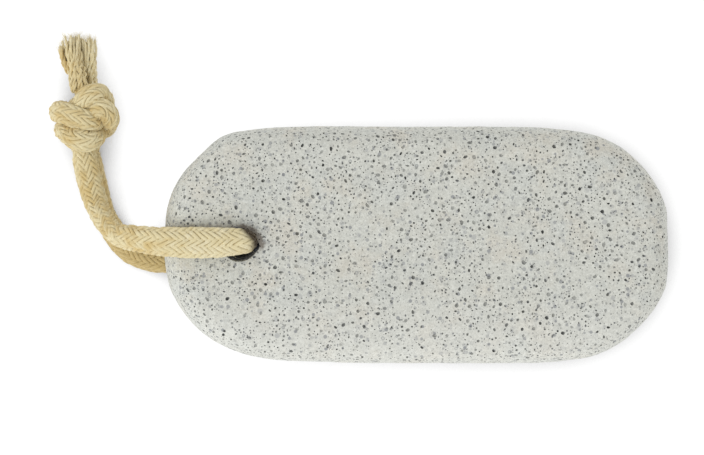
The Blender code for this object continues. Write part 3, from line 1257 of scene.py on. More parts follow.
@dataclass(frozen=True)
class Fray:
    """A bundle of two-ply yarns that comes out of the end of a braid and spreads.

    Its places and sizes, down to the bulge, are in millimetres.

    Attributes:
        name: the piece's name.
        start: where it comes out.
        way: the direction that it sets off in.
        start_size: half its width and half its height there.
        tip: the middle of its tips.
        tip_size: half the width, depth and height that they spread over.
        bulge: how far its middle swells to the side.
        crossing: how far round the bundle its yarns wind before they part, in radians.
        yarns: how many yarns it has.
        gold: how golden it is.
        seed: where its unevenness is drawn from.
        ply: the radius of a ply.
        pitch: the length of one turn of the two plies round each other.
        steps, sides: mesh rings along a ply, and points round it.
        fibres: how many fibres stand out of the end of each ply.
        fibre: the radius of a fibre at its root.
    """

    name: str
    start: Place
    way: Place
    start_size: Span
    tip: Place
    tip_size: Place
    bulge: Place
    crossing: float
    yarns: int
    gold: float
    seed: int
    ply: float = 0.275 * MM
    pitch: float = 3.6 * MM
    steps: int = 40
    sides: int = 6
    fibres: int = 20
    fibre: float = 0.021 * MM

    def build(self) -> Piece:
        """Make the bundle.

        Returns:
            The mesh, with what its material reads.
        """
        draw = np.random.default_rng(self.seed)
        paths = self.ply_paths(self.yarn_paths(draw), draw)
        count = len(paths)
        share = np.linspace(0, 1, self.steps)
        slim = self.ply * (1 - 0.18 * ramp(share, 0.85, 0.15))
        waves = share[None] * draw.uniform(4, 9, (count, 1)) + draw.random((count, 1))
        lumps = 1 + 0.10 * np.sin(2 * math.pi * waves)
        upright = np.array([[0.0, 0.0, 1.0]])
        points, triangles = tubes(paths, slim * lumps, self.sides, upright.repeat(count, 0))
        hairs = self.fibre_paths(paths, draw)
        thin = self.fibre * np.linspace(1, 0.35, hairs.shape[1])[None].repeat(len(hairs), 0)
        hair_points, hair_triangles = tubes(hairs, thin, FIBRE_SIDES, upright.repeat(len(hairs), 0))
        points = np.vstack([points, hair_points])
        triangles = np.vstack([triangles, hair_triangles + len(points) - len(hair_points)])
        piece = mesh_object(self.name, points, triangles)
        self.dress(piece, count, len(hairs), hairs.shape[1], draw)
        return piece

    def yarn_paths(self, draw: np.random.Generator) -> np.ndarray:
        """Draw the middle line of each yarn.

        Args:
            draw: the source of its unevenness.

        Returns:
            The paths, yarns by steps by 3.
        """
        start, tip, bulge = metres([self.start])[0], metres([self.tip])[0], metres([self.bulge])[0]
        way = unit(np.array(self.way))
        beside = unit(np.cross(way, [0.0, 0.0, 1.0]))
        above = np.cross(beside, way)
        across, depth, lift = metres([self.tip_size])[0]
        share = np.linspace(0, 1, 13)
        parting = ramp(share, 0.35, 0.65) ** 1.3
        middle = start + share[:, None] * (tip - start)
        middle += (4 * share * (1 - share))[:, None] * bulge
        swing = ((1 - share) ** 2 * share)[:, None] * np.linalg.norm(tip - start)
        middle += swing * (way - unit(tip - start))
        paths = []
        for k in range(self.yarns):
            hand = 1.0 if k % 2 else -1.0
            first = 2 * math.pi * (k + draw.uniform(-0.3, 0.3)) / self.yarns
            angle = first + hand * self.crossing * np.minimum(share / 0.6, 1.0)
            weave = 1 + 0.12 * hand * np.sin(2 * angle + share * 14.0)
            ring = (0.45 if k % 5 == 0 else 0.95) * weave
            width, height = (size * MM for size in self.start_size)
            near = (
                (width * ring * np.cos(angle))[:, None] * beside
                + (height * ring * np.sin(angle))[:, None] * above
            )
            last = angle[-1] + draw.uniform(-0.4, 0.4)
            out = 0.3 + 0.7 * math.sqrt(draw.random())
            late = draw.uniform(-1.0, 0.4) * depth
            far = beside * across * out * math.cos(last) + above * lift * out * math.sin(last) + way * late
            curve = middle + near * (1 - parting)[:, None] + far * parting[:, None]
            curve[1:-1] += draw.normal(size=(11, 3)) * 0.05 * MM
            curve = smooth_through(curve, 6)
            paths.append(at_lengths(curve, np.linspace(0, run_length(curve)[-1], self.steps)))
        return np.array(paths)

    def ply_paths(self, yarns: np.ndarray, draw: np.random.Generator) -> np.ndarray:
        """Lay two plies round each yarn's middle line, opening towards its tip.

        Args:
            yarns: the yarns' middle lines.
            draw: the source of their unevenness.

        Returns:
            The plies' paths.
        """
        count = len(yarns)
        _, across, partner = carried_frames(yarns, np.tile([[0.3, 0.1, 1.0]], (count, 1)))
        share = np.linspace(0, 1, self.steps)
        steps = np.linalg.norm(np.diff(yarns, axis=1), axis=2)
        along = np.concatenate([np.zeros((count, 1)), np.cumsum(steps, axis=1)], axis=1)
        slack = 1.0 - 0.35 * ramp(share, 0.5, 0.5)
        turn = 2 * math.pi * along / self.pitch * slack + draw.uniform(0, 2 * math.pi, (count, 1))
        opening = 0.9 * ramp(share, 0.6, 0.4) * draw.uniform(0.2, 1.4, (count, 1))
        reach = self.ply * (1.0 + opening)
        swing = 2 * math.pi * along / (4.5 * MM) + draw.uniform(0, 2 * math.pi, (count, 1))
        wave = 0.06 * MM * np.clip(share * 3, 0, 1) * np.sin(swing)
        plies = []
        for side in (0.0, math.pi):
            out = (reach * np.cos(turn + side) + wave)[..., None] * across
            plies.append(yarns + out + (reach * np.sin(turn + side))[..., None] * partner)
        paths = np.concatenate(plies)
        paths[:, :, 2] = np.maximum(paths[:, :, 2], 0.45 * MM)
        return paths

    def fibre_paths(self, plies: np.ndarray, draw: np.random.Generator) -> np.ndarray:
        """Draw the fibres that stand out of the plies' ends.

        Args:
            plies: the plies' paths.
            draw: the source of their unevenness.

        Returns:
            The fibres' paths.
        """
        ends = np.repeat(plies[:, -1], self.fibres, axis=0)
        ways = np.repeat(unit(plies[:, -1] - plies[:, -3]), self.fibres, axis=0)
        count = len(ends)
        lengths = draw.gamma(3.0, 0.24 * MM, count)
        starts = ends - ways * draw.uniform(0.1 * MM, 0.9 * MM, count)[:, None]
        starts += draw.normal(size=(count, 3)) * 0.10 * MM
        ways = unit(ways + draw.normal(size=(count, 3)) * 0.42)
        paths = curled(starts, ways, lengths + 0.4 * MM, draw.normal(size=(count, 3)) * 0.55, 5)
        paths[:, :, 2] = np.maximum(paths[:, :, 2], 0.1 * MM)
        return paths

    def dress(
        self, piece: Piece, plies: int, hairs: int, hair_steps: int, draw: np.random.Generator
    ) -> None:
        """Store what the material reads on the plies and their fibres.

        Args:
            piece: the bundle's mesh.
            plies: how many plies it has.
            hairs: how many fibres.
            hair_steps: how many rings a fibre has.
            draw: the source of their shades.
        """
        per_hair = hair_steps * FIBRE_SIDES + 2
        shades = draw.uniform(-0.3, 0.7, plies)
        ring = np.concatenate([np.repeat(np.arange(self.steps), self.sides), [0, self.steps - 1]])
        side = np.concatenate([np.tile(np.arange(self.sides) / self.sides, self.steps), [0.0, 0.0]])
        near_end = ramp(ring / (self.steps - 1), 0.75, 0.25)
        tint = np.concatenate([(shades[:, None] + 0.8 * near_end).ravel(), np.full(hairs * per_hair, 1.0)])
        # Painted shade: a little darker between the yarns, none at the tips.
        gap_shade = np.concatenate([np.tile(0.02 * (1 - near_end), plies), np.zeros(hairs * per_hair)])
        gold = np.concatenate([np.tile(self.gold * (1 - near_end), plies), np.zeros(hairs * per_hair)])
        around = np.concatenate([np.tile(side, plies), np.full(hairs * per_hair, 0.45)])
        places = np.arange(plies)[:, None] * 7.3 * MM + ring * 0.25 * MM
        along = np.concatenate([places.ravel(), np.zeros(hairs * per_hair)])
        dress_fibres(piece, tint, gap_shade, gold, around, along)


@dataclass(frozen=True)
class Fuzz:
    """The loose fibres that stand off a braid's yarns.

    Attributes:
        seed: where they are drawn from.
        count: how many there are.
        length: the mean length of one.
        thickness: its radius at its root.
    """

    seed: int
    count: int = 3000
    length: float = 0.85 * MM
    thickness: float = 0.022 * MM

    def build(self, name: str, skin: Piece) -> Piece:
        """Raise the fibres from a skin.

        Args:
            name: the piece's name.
            skin: the braid that they stand on.

        Returns:
            The fibres as one mesh.
        """
        draw = np.random.default_rng(self.seed)
        places = vertex_places(skin)
        normals = np.empty(places.size, np.float32)
        skin.data.vertex_normals.foreach_get("vector", normals)
        normals = normals.reshape(-1, 3)
        open_air = np.flatnonzero((places[:, 0] < -41 * MM) | (places[:, 2] > 25.5 * MM))
        chosen = draw.choice(open_air, self.count, replace=False)
        out = normals[chosen]
        aside = unit(np.cross(out, draw.normal(size=out.shape)))
        ways = unit(out * draw.uniform(0.15, 0.9, (self.count, 1)) + aside)
        lengths = draw.gamma(2.5, self.length / 2.5, self.count) + 0.15 * MM
        curl = draw.normal(size=out.shape) * 0.5 - out * 0.2
        paths = curled(places[chosen] - out * 0.05 * MM, ways, lengths, curl, 4)
        paths[:, :, 2] = np.maximum(paths[:, :, 2], 0.1 * MM)
        radii = self.thickness * np.linspace(1, 0.4, 4)[None].repeat(self.count, 0)
        points, triangles = tubes(paths, radii, FIBRE_SIDES, out)
        piece = mesh_object(name, points, triangles)
        flat = np.zeros(len(points))
        dress_fibres(piece, flat + 0.8, flat, flat, flat + 0.45, flat)
        return piece


@dataclass(frozen=True)
class HalfPlan:
    """What one half of the cord is made from.

    A row of its route is X, Y, Z, half the section's width and half its thickness, in millimetres. The run
    follows the frame's plain tube.

    Attributes:
        half: which half it is.
        length: its real length.
        seed: where its braid's shades and unevenness are drawn from.
        turned: how far round the braid its pattern starts, in turns.
        nodes: the frame's solids that it stands for.
        run: its way from the middle of the hole to the knot.
        knot: its way through the knot.
        tail: its way out of the knot, where it is the core of its frayed yarns.
        frays: its frayed yarns.
    """

    half: Half
    length: float
    seed: int
    turned: float
    nodes: tuple[str, ...]
    run: tuple[Row, ...]
    knot: tuple[Row, ...]
    tail: tuple[Row, ...]
    frays: tuple[Fray, ...]


UPPER_HALF = HalfPlan(
    half=Half.UPPER,
    length=0.145,
    seed=11,
    turned=0.0,
    nodes=("cord_upper", "knot", "tail_left"),
    run=(
        (-38.1, 1.0, 15.2, 2.6, 2.8), (-37.6, 1.1, 18.0, 2.6, 2.6), (-36.9, 1.1, 21.5, 2.5, 2.4),
        (-36.8, 0.9, 24.4, 2.5, 2.35), (-38.0, 0.8, 27.1, 2.9, 2.4), (-41.6, 0.6, 28.1, 3.3, 2.4),
        (-45.5, 0.5, 28.1, 3.5, 2.4), (-49.1, 0.5, 28.0, 3.5, 2.4), (-54.5, 0.7, 27.2, 3.3, 2.5),
        (-58.3, 1.0, 25.2, 3.1, 2.6), (-62.1, 1.5, 22.0, 2.9, 2.7), (-65.0, 2.2, 18.6, 2.55, 2.6),
        (-67.2, 4.0, 15.0, 2.45, 2.6), (-69.0, 6.4, 12.0, 2.5, 2.55), (-69.9, 8.2, 10.2, 2.6, 2.5),
        (-70.7, 10.5, 8.9, 2.75, 2.5), (-71.5, 13.1, 8.2, 2.85, 2.5), (-72.1, 15.4, 8.0, 2.85, 2.5),
        (-72.6, 17.6, 8.0, 2.8, 2.5),
    ),
    knot=(
        (-72.9, 19.8, 7.9, 2.7, 2.4), (-73.4, 21.9, 7.6, 2.25, 1.98), (-74.0, 24.1, 7.5, 2.02, 1.85),
        (-74.6, 26.4, 7.5, 2.02, 1.85), (-74.6, 28.5, 7.8, 2.11, 1.94), (-73.8, 29.9, 9.3, 2.2, 2.02),
        (-72.7, 30.7, 11.5, 2.25, 2.1), (-71.2, 32.0, 12.6, 2.3, 2.1), (-69.7, 32.6, 11.9, 2.3, 2.1),
        (-69.2, 32.0, 9.5, 2.3, 2.1), (-69.1, 31.0, 6.3, 2.3, 2.1), (-69.1, 29.7, 3.6, 2.3, 2.1),
        (-70.1, 28.8, 2.7, 2.46, 2.11), (-72.7, 28.5, 2.6, 2.46, 2.11), (-75.6, 28.6, 2.7, 2.46, 2.11),
        (-77.7, 29.0, 3.6, 2.46, 2.11), (-78.5, 29.2, 5.9, 2.46, 2.11), (-78.5, 29.1, 8.6, 2.46, 2.11),
        (-77.7, 29.0, 11.0, 2.46, 2.11), (-76.3, 28.7, 12.3, 2.55, 2.11),
        (-74.0, 28.1, 12.5, 2.55, 2.11), (-71.8, 27.7, 12.2, 2.46, 2.02), (-70.6, 27.5, 11.0, 2.2, 1.94),
        (-69.8, 28.1, 8.8, 1.94, 1.85), (-70.4, 29.8, 6.3, 1.94, 1.85), (-71.6, 31.5, 6.8, 2.02, 1.85),
        (-73.0, 33.1, 8.3, 2.11, 1.94),
    ),
    tail=(
        (-74.0, 35.1, 9.0, 1.75, 1.8), (-74.8, 37.6, 8.1, 1.6, 1.55), (-75.5, 41.0, 6.3, 1.1, 1.1),
    ),
    frays=(
        Fray(
            name="frayed_end_upper",
            start=(-73.7, 34.0, 9.2), way=(-0.22, 0.94, -0.20), start_size=(1.65, 1.75),
            tip=(-75.9, 45.3, 3.9), tip_size=(1.9, 1.0, 1.9), bulge=(-0.1, 0.0, 0.9),
            crossing=1.2, yarns=17, gold=0.32, seed=3,
        ),
        # The clump's strong gold is partly painted shade: its plies curl off to the side and behind, in
        # shadow.
        Fray(
            name="frayed_clump",
            start=(-75.9, 38.0, 6.9), way=(-0.45, 0.85, -0.25), start_size=(0.5, 1.0),
            tip=(-78.1, 43.3, 3.6), tip_size=(0.75, 1.6, 1.2), bulge=(-0.4, 0.0, 0.0),
            crossing=0.4, yarns=6, gold=0.9, seed=4,
        ),
    ),
)

LOWER_HALF = HalfPlan(
    half=Half.LOWER,
    length=0.136,
    seed=31,
    turned=0.06,
    nodes=("cord_lower", "tail_right"),
    run=(
        (-38.2, 0.9, 14.9, 2.8, 2.8), (-38.5, 0.8, 11.0, 2.8, 2.8), (-38.6, 0.7, 7.5, 2.8, 2.7),
        (-39.4, 0.4, 4.6, 2.9, 2.4), (-41.3, -0.1, 2.7, 3.0, 2.2), (-44.3, -0.8, 2.2, 3.0, 2.15),
        (-48.0, -1.7, 2.3, 3.0, 2.2), (-51.8, -2.6, 2.5, 2.95, 2.4), (-55.6, -3.4, 2.6, 2.9, 2.5),
        (-58.7, -3.1, 2.7, 2.85, 2.6), (-61.4, -2.2, 2.7, 2.8, 2.6), (-63.6, -0.8, 2.7, 2.8, 2.6),
        (-65.5, 1.2, 2.7, 2.8, 2.6), (-67.0, 3.5, 2.7, 2.7, 2.55), (-68.5, 6.1, 2.7, 2.6, 2.5),
        (-69.4, 8.7, 2.7, 2.6, 2.45), (-70.25, 11.7, 2.7, 2.65, 2.4), (-71.05, 14.8, 2.7, 2.8, 2.4),
        (-71.75, 17.4, 2.7, 2.8, 2.4),
    ),
    knot=(
        (-72.3, 19.9, 2.7, 2.7, 2.4), (-71.7, 21.7, 4.5, 2.27, 2.0), (-71.1, 23.7, 6.8, 2.02, 1.85),
        (-71.3, 26.0, 7.5, 2.02, 1.85), (-71.7, 28.3, 8.2, 2.11, 1.94), (-71.2, 29.8, 10.8, 2.29, 2.02),
        (-69.9, 30.4, 12.6, 2.46, 2.11), (-68.7, 29.6, 12.2, 2.46, 2.11),
        (-68.2, 28.2, 10.8, 2.46, 2.11), (-68.5, 26.9, 8.5, 2.4, 2.1), (-69.3, 25.9, 5.8, 2.3, 2.1),
        (-71.0, 25.3, 3.5, 2.3, 2.1), (-72.6, 25.2, 2.6, 2.3, 2.1), (-74.8, 25.4, 2.6, 2.4, 2.1),
        (-76.1, 25.9, 3.4, 2.4, 2.11), (-76.9, 26.1, 5.8, 2.4, 2.11), (-76.8, 25.4, 8.6, 2.4, 2.11),
        (-76.1, 24.2, 11.0, 2.4, 2.11), (-75.0, 23.3, 12.3, 2.5, 2.11), (-73.4, 22.8, 12.5, 2.64, 2.11),
        (-71.4, 22.8, 12.0, 2.46, 2.02), (-70.2, 23.8, 10.4, 2.2, 1.94), (-69.9, 25.3, 8.0, 1.94, 1.85),
        (-69.9, 27.9, 5.0, 1.94, 1.85), (-70.1, 31.3, 4.6, 1.94, 1.85), (-71.0, 33.0, 4.8, 2.02, 1.85),
    ),
    tail=(
        (-71.4, 34.6, 5.3, 1.7, 2.0), (-71.8, 38.0, 5.4, 1.2, 1.5),
    ),
    frays=(
        Fray(
            name="frayed_end_lower",
            start=(-71.6, 34.0, 5.3), way=(-0.06, 0.99, 0.0), start_size=(1.25, 1.8),
            tip=(-72.5, 45.0, 4.0), tip_size=(1.7, 1.1, 2.0), bulge=(0.2, 0.0, 0.9),
            crossing=0.7, yarns=15, gold=0.04, seed=5,
        ),
    ),
)


@dataclass(frozen=True)
class Cord:
    """The braided cord: its two halves, the knot that joins them, and their frayed ends.

    Attributes:
        halves: the plans of its halves.
        diameter: its real diameter, which is its width where it is flattened.
        ring_every: the distance between the rows of a settled route.
        tied_from: the place in Y from which a half may move as the knot settles.
        fuzz_seed: where the first half's fuzz is drawn from.
    """

    halves: tuple[HalfPlan, ...] = (UPPER_HALF, LOWER_HALF)
    diameter: float = 5.8 * MM
    ring_every: float = 0.4 * MM
    tied_from: float = 17.5 * MM
    fuzz_seed: int = 50

    @staticmethod
    def evenly(curve: np.ndarray, spacing: float) -> np.ndarray:
        """Space the rows of a curve evenly.

        Args:
            curve: the curve's rows.
            spacing: roughly how far apart they are to be.

        Returns:
            The new rows.
        """
        length = run_length(curve)[-1]
        return at_lengths(curve, np.linspace(0, length, round(length / spacing)))

    def routes(self) -> list[Route]:
        """Press the halves together where they are tied.

        Returns:
            Each half's route.
        """
        settling = KnotSettling()
        lines = []
        for plan in self.halves:
            curve = smooth_through(metres([*plan.run, *plan.knot, *plan.tail]))
            lines.append(self.evenly(curve, settling.spacing))
        held = [line[:, 1] < self.tied_from for line in lines]
        routes = []
        for plan, line in zip(self.halves, settling.settle(lines, held)):
            even = self.evenly(smooth_through(line, 3), self.ring_every)
            routes.append(Route.lying(even))
            LOG.info("cord %s: %.1f mm in braid", plan.half.value, run_length(even)[-1] / MM)
        return routes

    def build(self) -> list[Piece]:
        """Braid both halves, fray their ends and raise their fuzz.

        Returns:
            All the cord's pieces.
        """
        finish = CottonFinish().material()
        pieces = []
        for number, (plan, route) in enumerate(zip(self.halves, self.routes())):
            name = plan.half.value
            skin = Braid().skin(f"cord_{name}_half", route, plan.seed, plan.turned)
            places = vertex_places(skin)
            point_attribute(skin, "soil_and_shade", self.soil_and_shade(places))
            point_attribute(skin, "gold", self.golden(places, plan.half))
            loose = [fray.build() for fray in plan.frays]
            loose.append(Fuzz(self.fuzz_seed + number).build(f"fuzz_{name}", skin))
            for piece in (skin, *loose):
                piece.data.materials.append(finish)
                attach(piece, "root")
            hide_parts(*plan.nodes)
            pieces += [skin, *loose]
        return pieces

    @staticmethod
    def soil_and_shade(places: np.ndarray) -> np.ndarray:
        """Work out how dark a cord is at each place: darker at its end past the hole's rim, with painted
        shade down the hole and where the lower half lies in the upper one's shadow.

        Args:
            places: the points of its skin.

        Returns:
            The share of dark brown at each.
        """
        x, y, z = places.T
        near = np.hypot(x + 36.5 * MM, y - 0.2 * MM) < 9 * MM
        over_rim = ramp(0.75 * x + 0.66 * y, -26.8 * MM, 1.0 * MM)
        far_side = ramp(x, -36.4 * MM, 1.3 * MM)
        edge = np.maximum(over_rim, far_side) ** 1.2
        # Painted shade: darker the deeper the cord goes down the hole.
        deep = ramp(z, 24.6 * MM, -3.0 * MM)
        # Painted shade: a little darker where the lower half lies on the floor under the upper one.
        under_upper_half = ramp(y, 6.0 * MM, -3.0 * MM) * (z < 12 * MM)
        return np.where(near, np.clip(edge + 0.7 * deep, 0, 1), 0.10 * under_upper_half)

    @staticmethod
    def golden(places: np.ndarray, half: Half) -> np.ndarray:
        """Work out how much darker and more golden a cord is at each place.

        Args:
            places: the points of its skin.
            half: which half it is.

        Returns:
            The share of gold at each. The lower half has more: partly a more golden cord, partly painted
            shade where it lies under the upper one.
        """
        y = places[:, 1]
        run = ramp(y, 20.0 * MM, -4.0 * MM)
        beside = ramp(y, 4.0 * MM, 5.0 * MM) * run
        tail = ramp(y, 33.0 * MM, 2.0 * MM)
        if half is Half.UPPER:
            return 0.14 * beside + 0.25 * tail
        # The lower half's extra gold is partly painted shade, where the upper half shadows it.
        return run - 0.70 * beside + 0.25 * tail


# ---------------------------------------------------------------- the stone


class PoreKind(Enum):
    """The ways in which a face cuts a bubble open."""

    PINPRICK = "pinprick"
    SMALL = "small"
    OPEN = "open"
    SHALLOW = "shallow"


class Change(Enum):
    """The ways in which a tool changes the stone."""

    CUT_AWAY = "DIFFERENCE"
    JOIN_ON = "UNION"


@dataclass(frozen=True)
class PoreFamily:
    """One kind of pore.

    Attributes:
        kind: which kind it is.
        count: how many are tried.
        mouth: the smallest and largest radius of the mouth.
        sunk: how far the bubble's centre lies under the face, in bubble radii.
        tone: how dark painted shade makes its wall, from 0 to 1.
        stretch: the most that it is drawn out along the face.
        subdivisions: how finely the ball that cuts it is made.
    """

    kind: PoreKind
    count: int
    mouth: Span
    sunk: Span
    tone: Span
    stretch: float
    subdivisions: int


@dataclass
class PumiceSlab:
    """The stone: the frame's slab, softened, roughened, bored and pitted all over.

    Attributes:
        cell: the size of the cells that it is remeshed in.
        rough_size, rough_depth: the width and depth of the unevenness of its faces.
        families: the kinds of pore, the largest first.
        dents: how uneven a pore's wall is, as a share of its radius.
        clumping, clump_rate: how much the pores gather, and how often in a metre.
        face_share: how much denser they are on the two faces than on the sides.
        far_share: how much denser they are at the faces' far edge, and sparser at the near one.
        grid: the size of the cells in which near pores are looked up, more than two reaches.
        seed: where the pores' places are drawn from.
        face_way: the way that its upper face looks.
        face_height, face_slope: that face's height above X = 0, and its rise for each unit of X.
        thickness: how thick the slab is.
        bore_rough: how uneven the hole's wall is.
        bore_lean: how far the hole's worn upper mouth stands off to -Y from the rest of it.
        bore_wear: how deep that wear goes before little of it is left.
        most_triangles: how many triangles the stone keeps once the slivers that cutting leaves are merged.
        mouth: the outline of the hole in its upper face, as X and Y in millimetres.
    """

    cell: float = 1.3 * MM
    rough_size: float = 3.5 * MM
    rough_depth: float = 0.28 * MM
    families: tuple[PoreFamily, ...] = (
        PoreFamily(PoreKind.SHALLOW, 1300, (0.33 * MM, 0.58 * MM), (-0.75, -0.35), (0.34, 0.66), 1.5, 2),
        PoreFamily(PoreKind.OPEN, 1700, (0.26 * MM, 0.50 * MM), (-0.35, 0.40), (0.48, 0.92), 1.7, 2),
        PoreFamily(PoreKind.SMALL, 4500, (0.18 * MM, 0.31 * MM), (-0.20, 0.50), (0.60, 1.0), 1.8, 1),
        PoreFamily(PoreKind.PINPRICK, 3000, (0.13 * MM, 0.23 * MM), (0.10, 0.60), (0.80, 1.0), 1.8, 1),
    )
    dents: float = 0.22
    clumping: float = 0.75
    clump_rate: float = 160.0
    face_share: float = 1.7
    far_share: float = 0.30
    grid: float = 1.6 * MM
    seed: int = 7
    face_way: Place = (0.054079, 0.0, 0.998537)
    face_height: float = 22.74 * MM
    face_slope: float = -0.05416
    thickness: float = 20.0 * MM
    bore_rough: float = 0.16 * MM
    bore_lean: float = 1.5 * MM
    bore_wear: float = 3.0 * MM
    most_triangles: int = 190000
    mouth: tuple[Span, ...] = (
        (-42.3, 0.3), (-41.8, -2.0), (-40.3, -3.3), (-38.4, -3.7), (-36.6, -3.15), (-35.0, -1.85),
        (-34.1, -0.15), (-35.5, 1.75), (-37.0, 3.3), (-38.6, 4.0), (-40.3, 3.8), (-41.7, 2.3),
    )

    def build(self) -> Piece:
        """Make the stone and dress it.

        Returns:
            The finished piece.
        """
        slab = self.blank()
        hole = self.bore(0.0, 6 * MM, self.bore_rough, self.bore_lean)
        self.change(slab, hole, Change.CUT_AWAY)
        pores = self.scatter(slab)
        self.open_pores(slab, self.cutter(pores))
        self.merge_slivers(slab)
        self.shade_pores(slab, pores)
        make_active(slab)
        bpy.ops.object.shade_smooth_by_angle(angle=math.radians(38))
        slab.data.materials.clear()
        slab.data.materials.append(PumiceFinish().material())
        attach(slab, "root")
        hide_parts("stone")
        LOG.info("stone: %d pores", len(pores))
        return slab

    def blank(self) -> Piece:
        """Copy the frame's slab, fill its hole, soften its edges and roughen it.

        Returns:
            The slab without its hole.
        """
        slab = bpy.data.objects.new("pumice_slab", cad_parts["stone"].data.copy())
        bpy.context.scene.collection.objects.link(slab)
        make_active(slab)
        bpy.ops.object.mode_set(mode="EDIT")
        bpy.ops.mesh.select_all(action="SELECT")
        bpy.ops.mesh.remove_doubles(threshold=0.001 * MM)
        bpy.ops.mesh.normals_make_consistent(inside=False)
        bpy.ops.object.mode_set(mode="OBJECT")
        plug = self.bore(1.1 * MM, -0.03 * MM, 0.0, 0.0)
        self.change(slab, plug, Change.JOIN_ON)
        remesh = slab.modifiers.new("even_faces", "REMESH")
        remesh.mode = "VOXEL"
        remesh.voxel_size = self.cell
        apply_modifier(slab, remesh.name)
        soften = slab.modifiers.new("worn_edges", "SMOOTH")
        soften.factor = 0.5
        soften.iterations = 2
        apply_modifier(slab, soften.name)
        self.roughen(slab, self.rough_size, self.rough_depth)
        return slab

    @staticmethod
    def roughen(piece: Piece, size: float, depth: float) -> None:
        """Make a mesh's faces uneven.

        Args:
            piece: the mesh.
            size: the width of the unevenness.
            depth: its depth.
        """
        lumps = bpy.data.textures.new("rock_lumps", "CLOUDS")
        lumps.noise_scale = size
        lumps.noise_depth = 2
        rough = piece.modifiers.new("uneven_faces", "DISPLACE")
        rough.texture = lumps
        rough.texture_coords = "LOCAL"
        rough.strength = depth
        rough.mid_level = 0.5
        apply_modifier(piece, rough.name)

    def bore(self, wider: float, beyond: float, rough: float, lean: float) -> Piece:
        """Model a prism of the hole's shape.

        Args:
            wider: how much larger than the hole it is all round.
            beyond: how far it stands out of both faces.
            rough: how uneven its walls are.
            lean: how far its worn upper mouth stands off to -Y from the rest of it.

        Returns:
            The prism.
        """
        outline = metres([*self.mouth, *self.mouth[:3]])
        round_once = smooth_through(np.column_stack([outline, np.zeros(len(outline))]), 8)[8:-8]
        along = run_length(round_once)
        corners = at_lengths(round_once, np.linspace(0, along[-1], 41))[:-1, :2]
        middle = corners.mean(axis=0)
        corners += unit(corners - middle) * wider
        way = Vector(self.face_way)
        deselect_all()
        bpy.ops.mesh.primitive_circle_add(vertices=len(corners), fill_type="NGON")
        bore = bpy.context.object
        for corner, (x, y) in zip(bore.data.vertices, corners):
            corner.co = Vector((x, y, self.face_height + self.face_slope * x)) + way * beyond
            corner.co.y += self.flare(-beyond, lean)
        steps = 16
        depths = np.linspace(-beyond, self.thickness + beyond, steps + 1)
        bpy.ops.object.mode_set(mode="EDIT")
        bpy.ops.mesh.select_all(action="SELECT")
        for upper, lower in zip(depths, depths[1:]):
            drop = way * (upper - lower)
            drop.y += self.flare(lower, lean) - self.flare(upper, lean)
            bpy.ops.mesh.extrude_region_move(TRANSFORM_OT_translate={"value": drop})
        bpy.ops.mesh.select_all(action="SELECT")
        bpy.ops.mesh.normals_make_consistent(inside=False)
        bpy.ops.object.mode_set(mode="OBJECT")
        if rough:
            self.roughen(bore, 1.6 * MM, rough)
        return bore

    def flare(self, depth: float, lean: float) -> float:
        """Work out how far to +Y the hole's middle has moved.

        Args:
            depth: the depth under the face, negative above it.
            lean: how far it moves in all.

        Returns:
            How far it has moved at that depth.
        """
        if depth > 0:
            return lean * (1 - math.exp(-depth / self.bore_wear))
        return lean * depth / self.bore_wear

    @staticmethod
    def change(slab: Piece, tool: Piece, way: Change) -> None:
        """Cut a tool out of the slab or join it on, and remove the tool.

        Args:
            slab: the slab.
            tool: the closed mesh that changes it.
            way: what is done with it.
        """
        boolean = slab.modifiers.new("change", "BOOLEAN")
        boolean.operation = way.value
        boolean.solver = "MANIFOLD"
        boolean.object = tool
        apply_modifier(slab, boolean.name)
        mesh = tool.data
        bpy.data.objects.remove(tool)
        bpy.data.meshes.remove(mesh)

    def likely_places(self, slab: Piece) -> tuple[np.ndarray, np.ndarray, np.ndarray]:
        """Work out where pores may open, in an order that depends only on the stone's shape.

        Args:
            slab: the stone without pores.

        Returns:
            The corners of its triangles, their normals, and the chance that a pore opens on each.
        """
        mesh = slab.data
        mesh.calc_loop_triangles()
        corners = vertex_places(slab).astype(float)[[t.vertices[:] for t in mesh.loop_triangles]]
        corners = corners[np.lexsort(np.round(corners.mean(axis=1) / (0.0001 * MM)).T)]
        edges = np.cross(corners[:, 1] - corners[:, 0], corners[:, 2] - corners[:, 0])
        areas = np.linalg.norm(edges, axis=1)
        normals = unit(edges)
        middle = corners.mean(axis=1)
        crowd = 1.0 + self.far_share * np.clip(middle[:, 1] / (20 * MM), -1, 1)
        off_axis = np.hypot(np.clip(abs(middle[:, 0]) - 32 * MM, 0, None), middle[:, 1])
        crowd *= np.where(off_axis > 22.5 * MM, 0.95, 1.0)
        gathered = np.array([noise.noise(Vector(spot) * self.clump_rate) for spot in middle])
        crowd *= np.clip(1.0 + self.clumping * 2.2 * gathered, 0.25, None)
        chance = areas * np.where(normals[:, 2] > 0.5, self.face_share * crowd, 1.0)
        return corners, normals, chance / chance.sum()

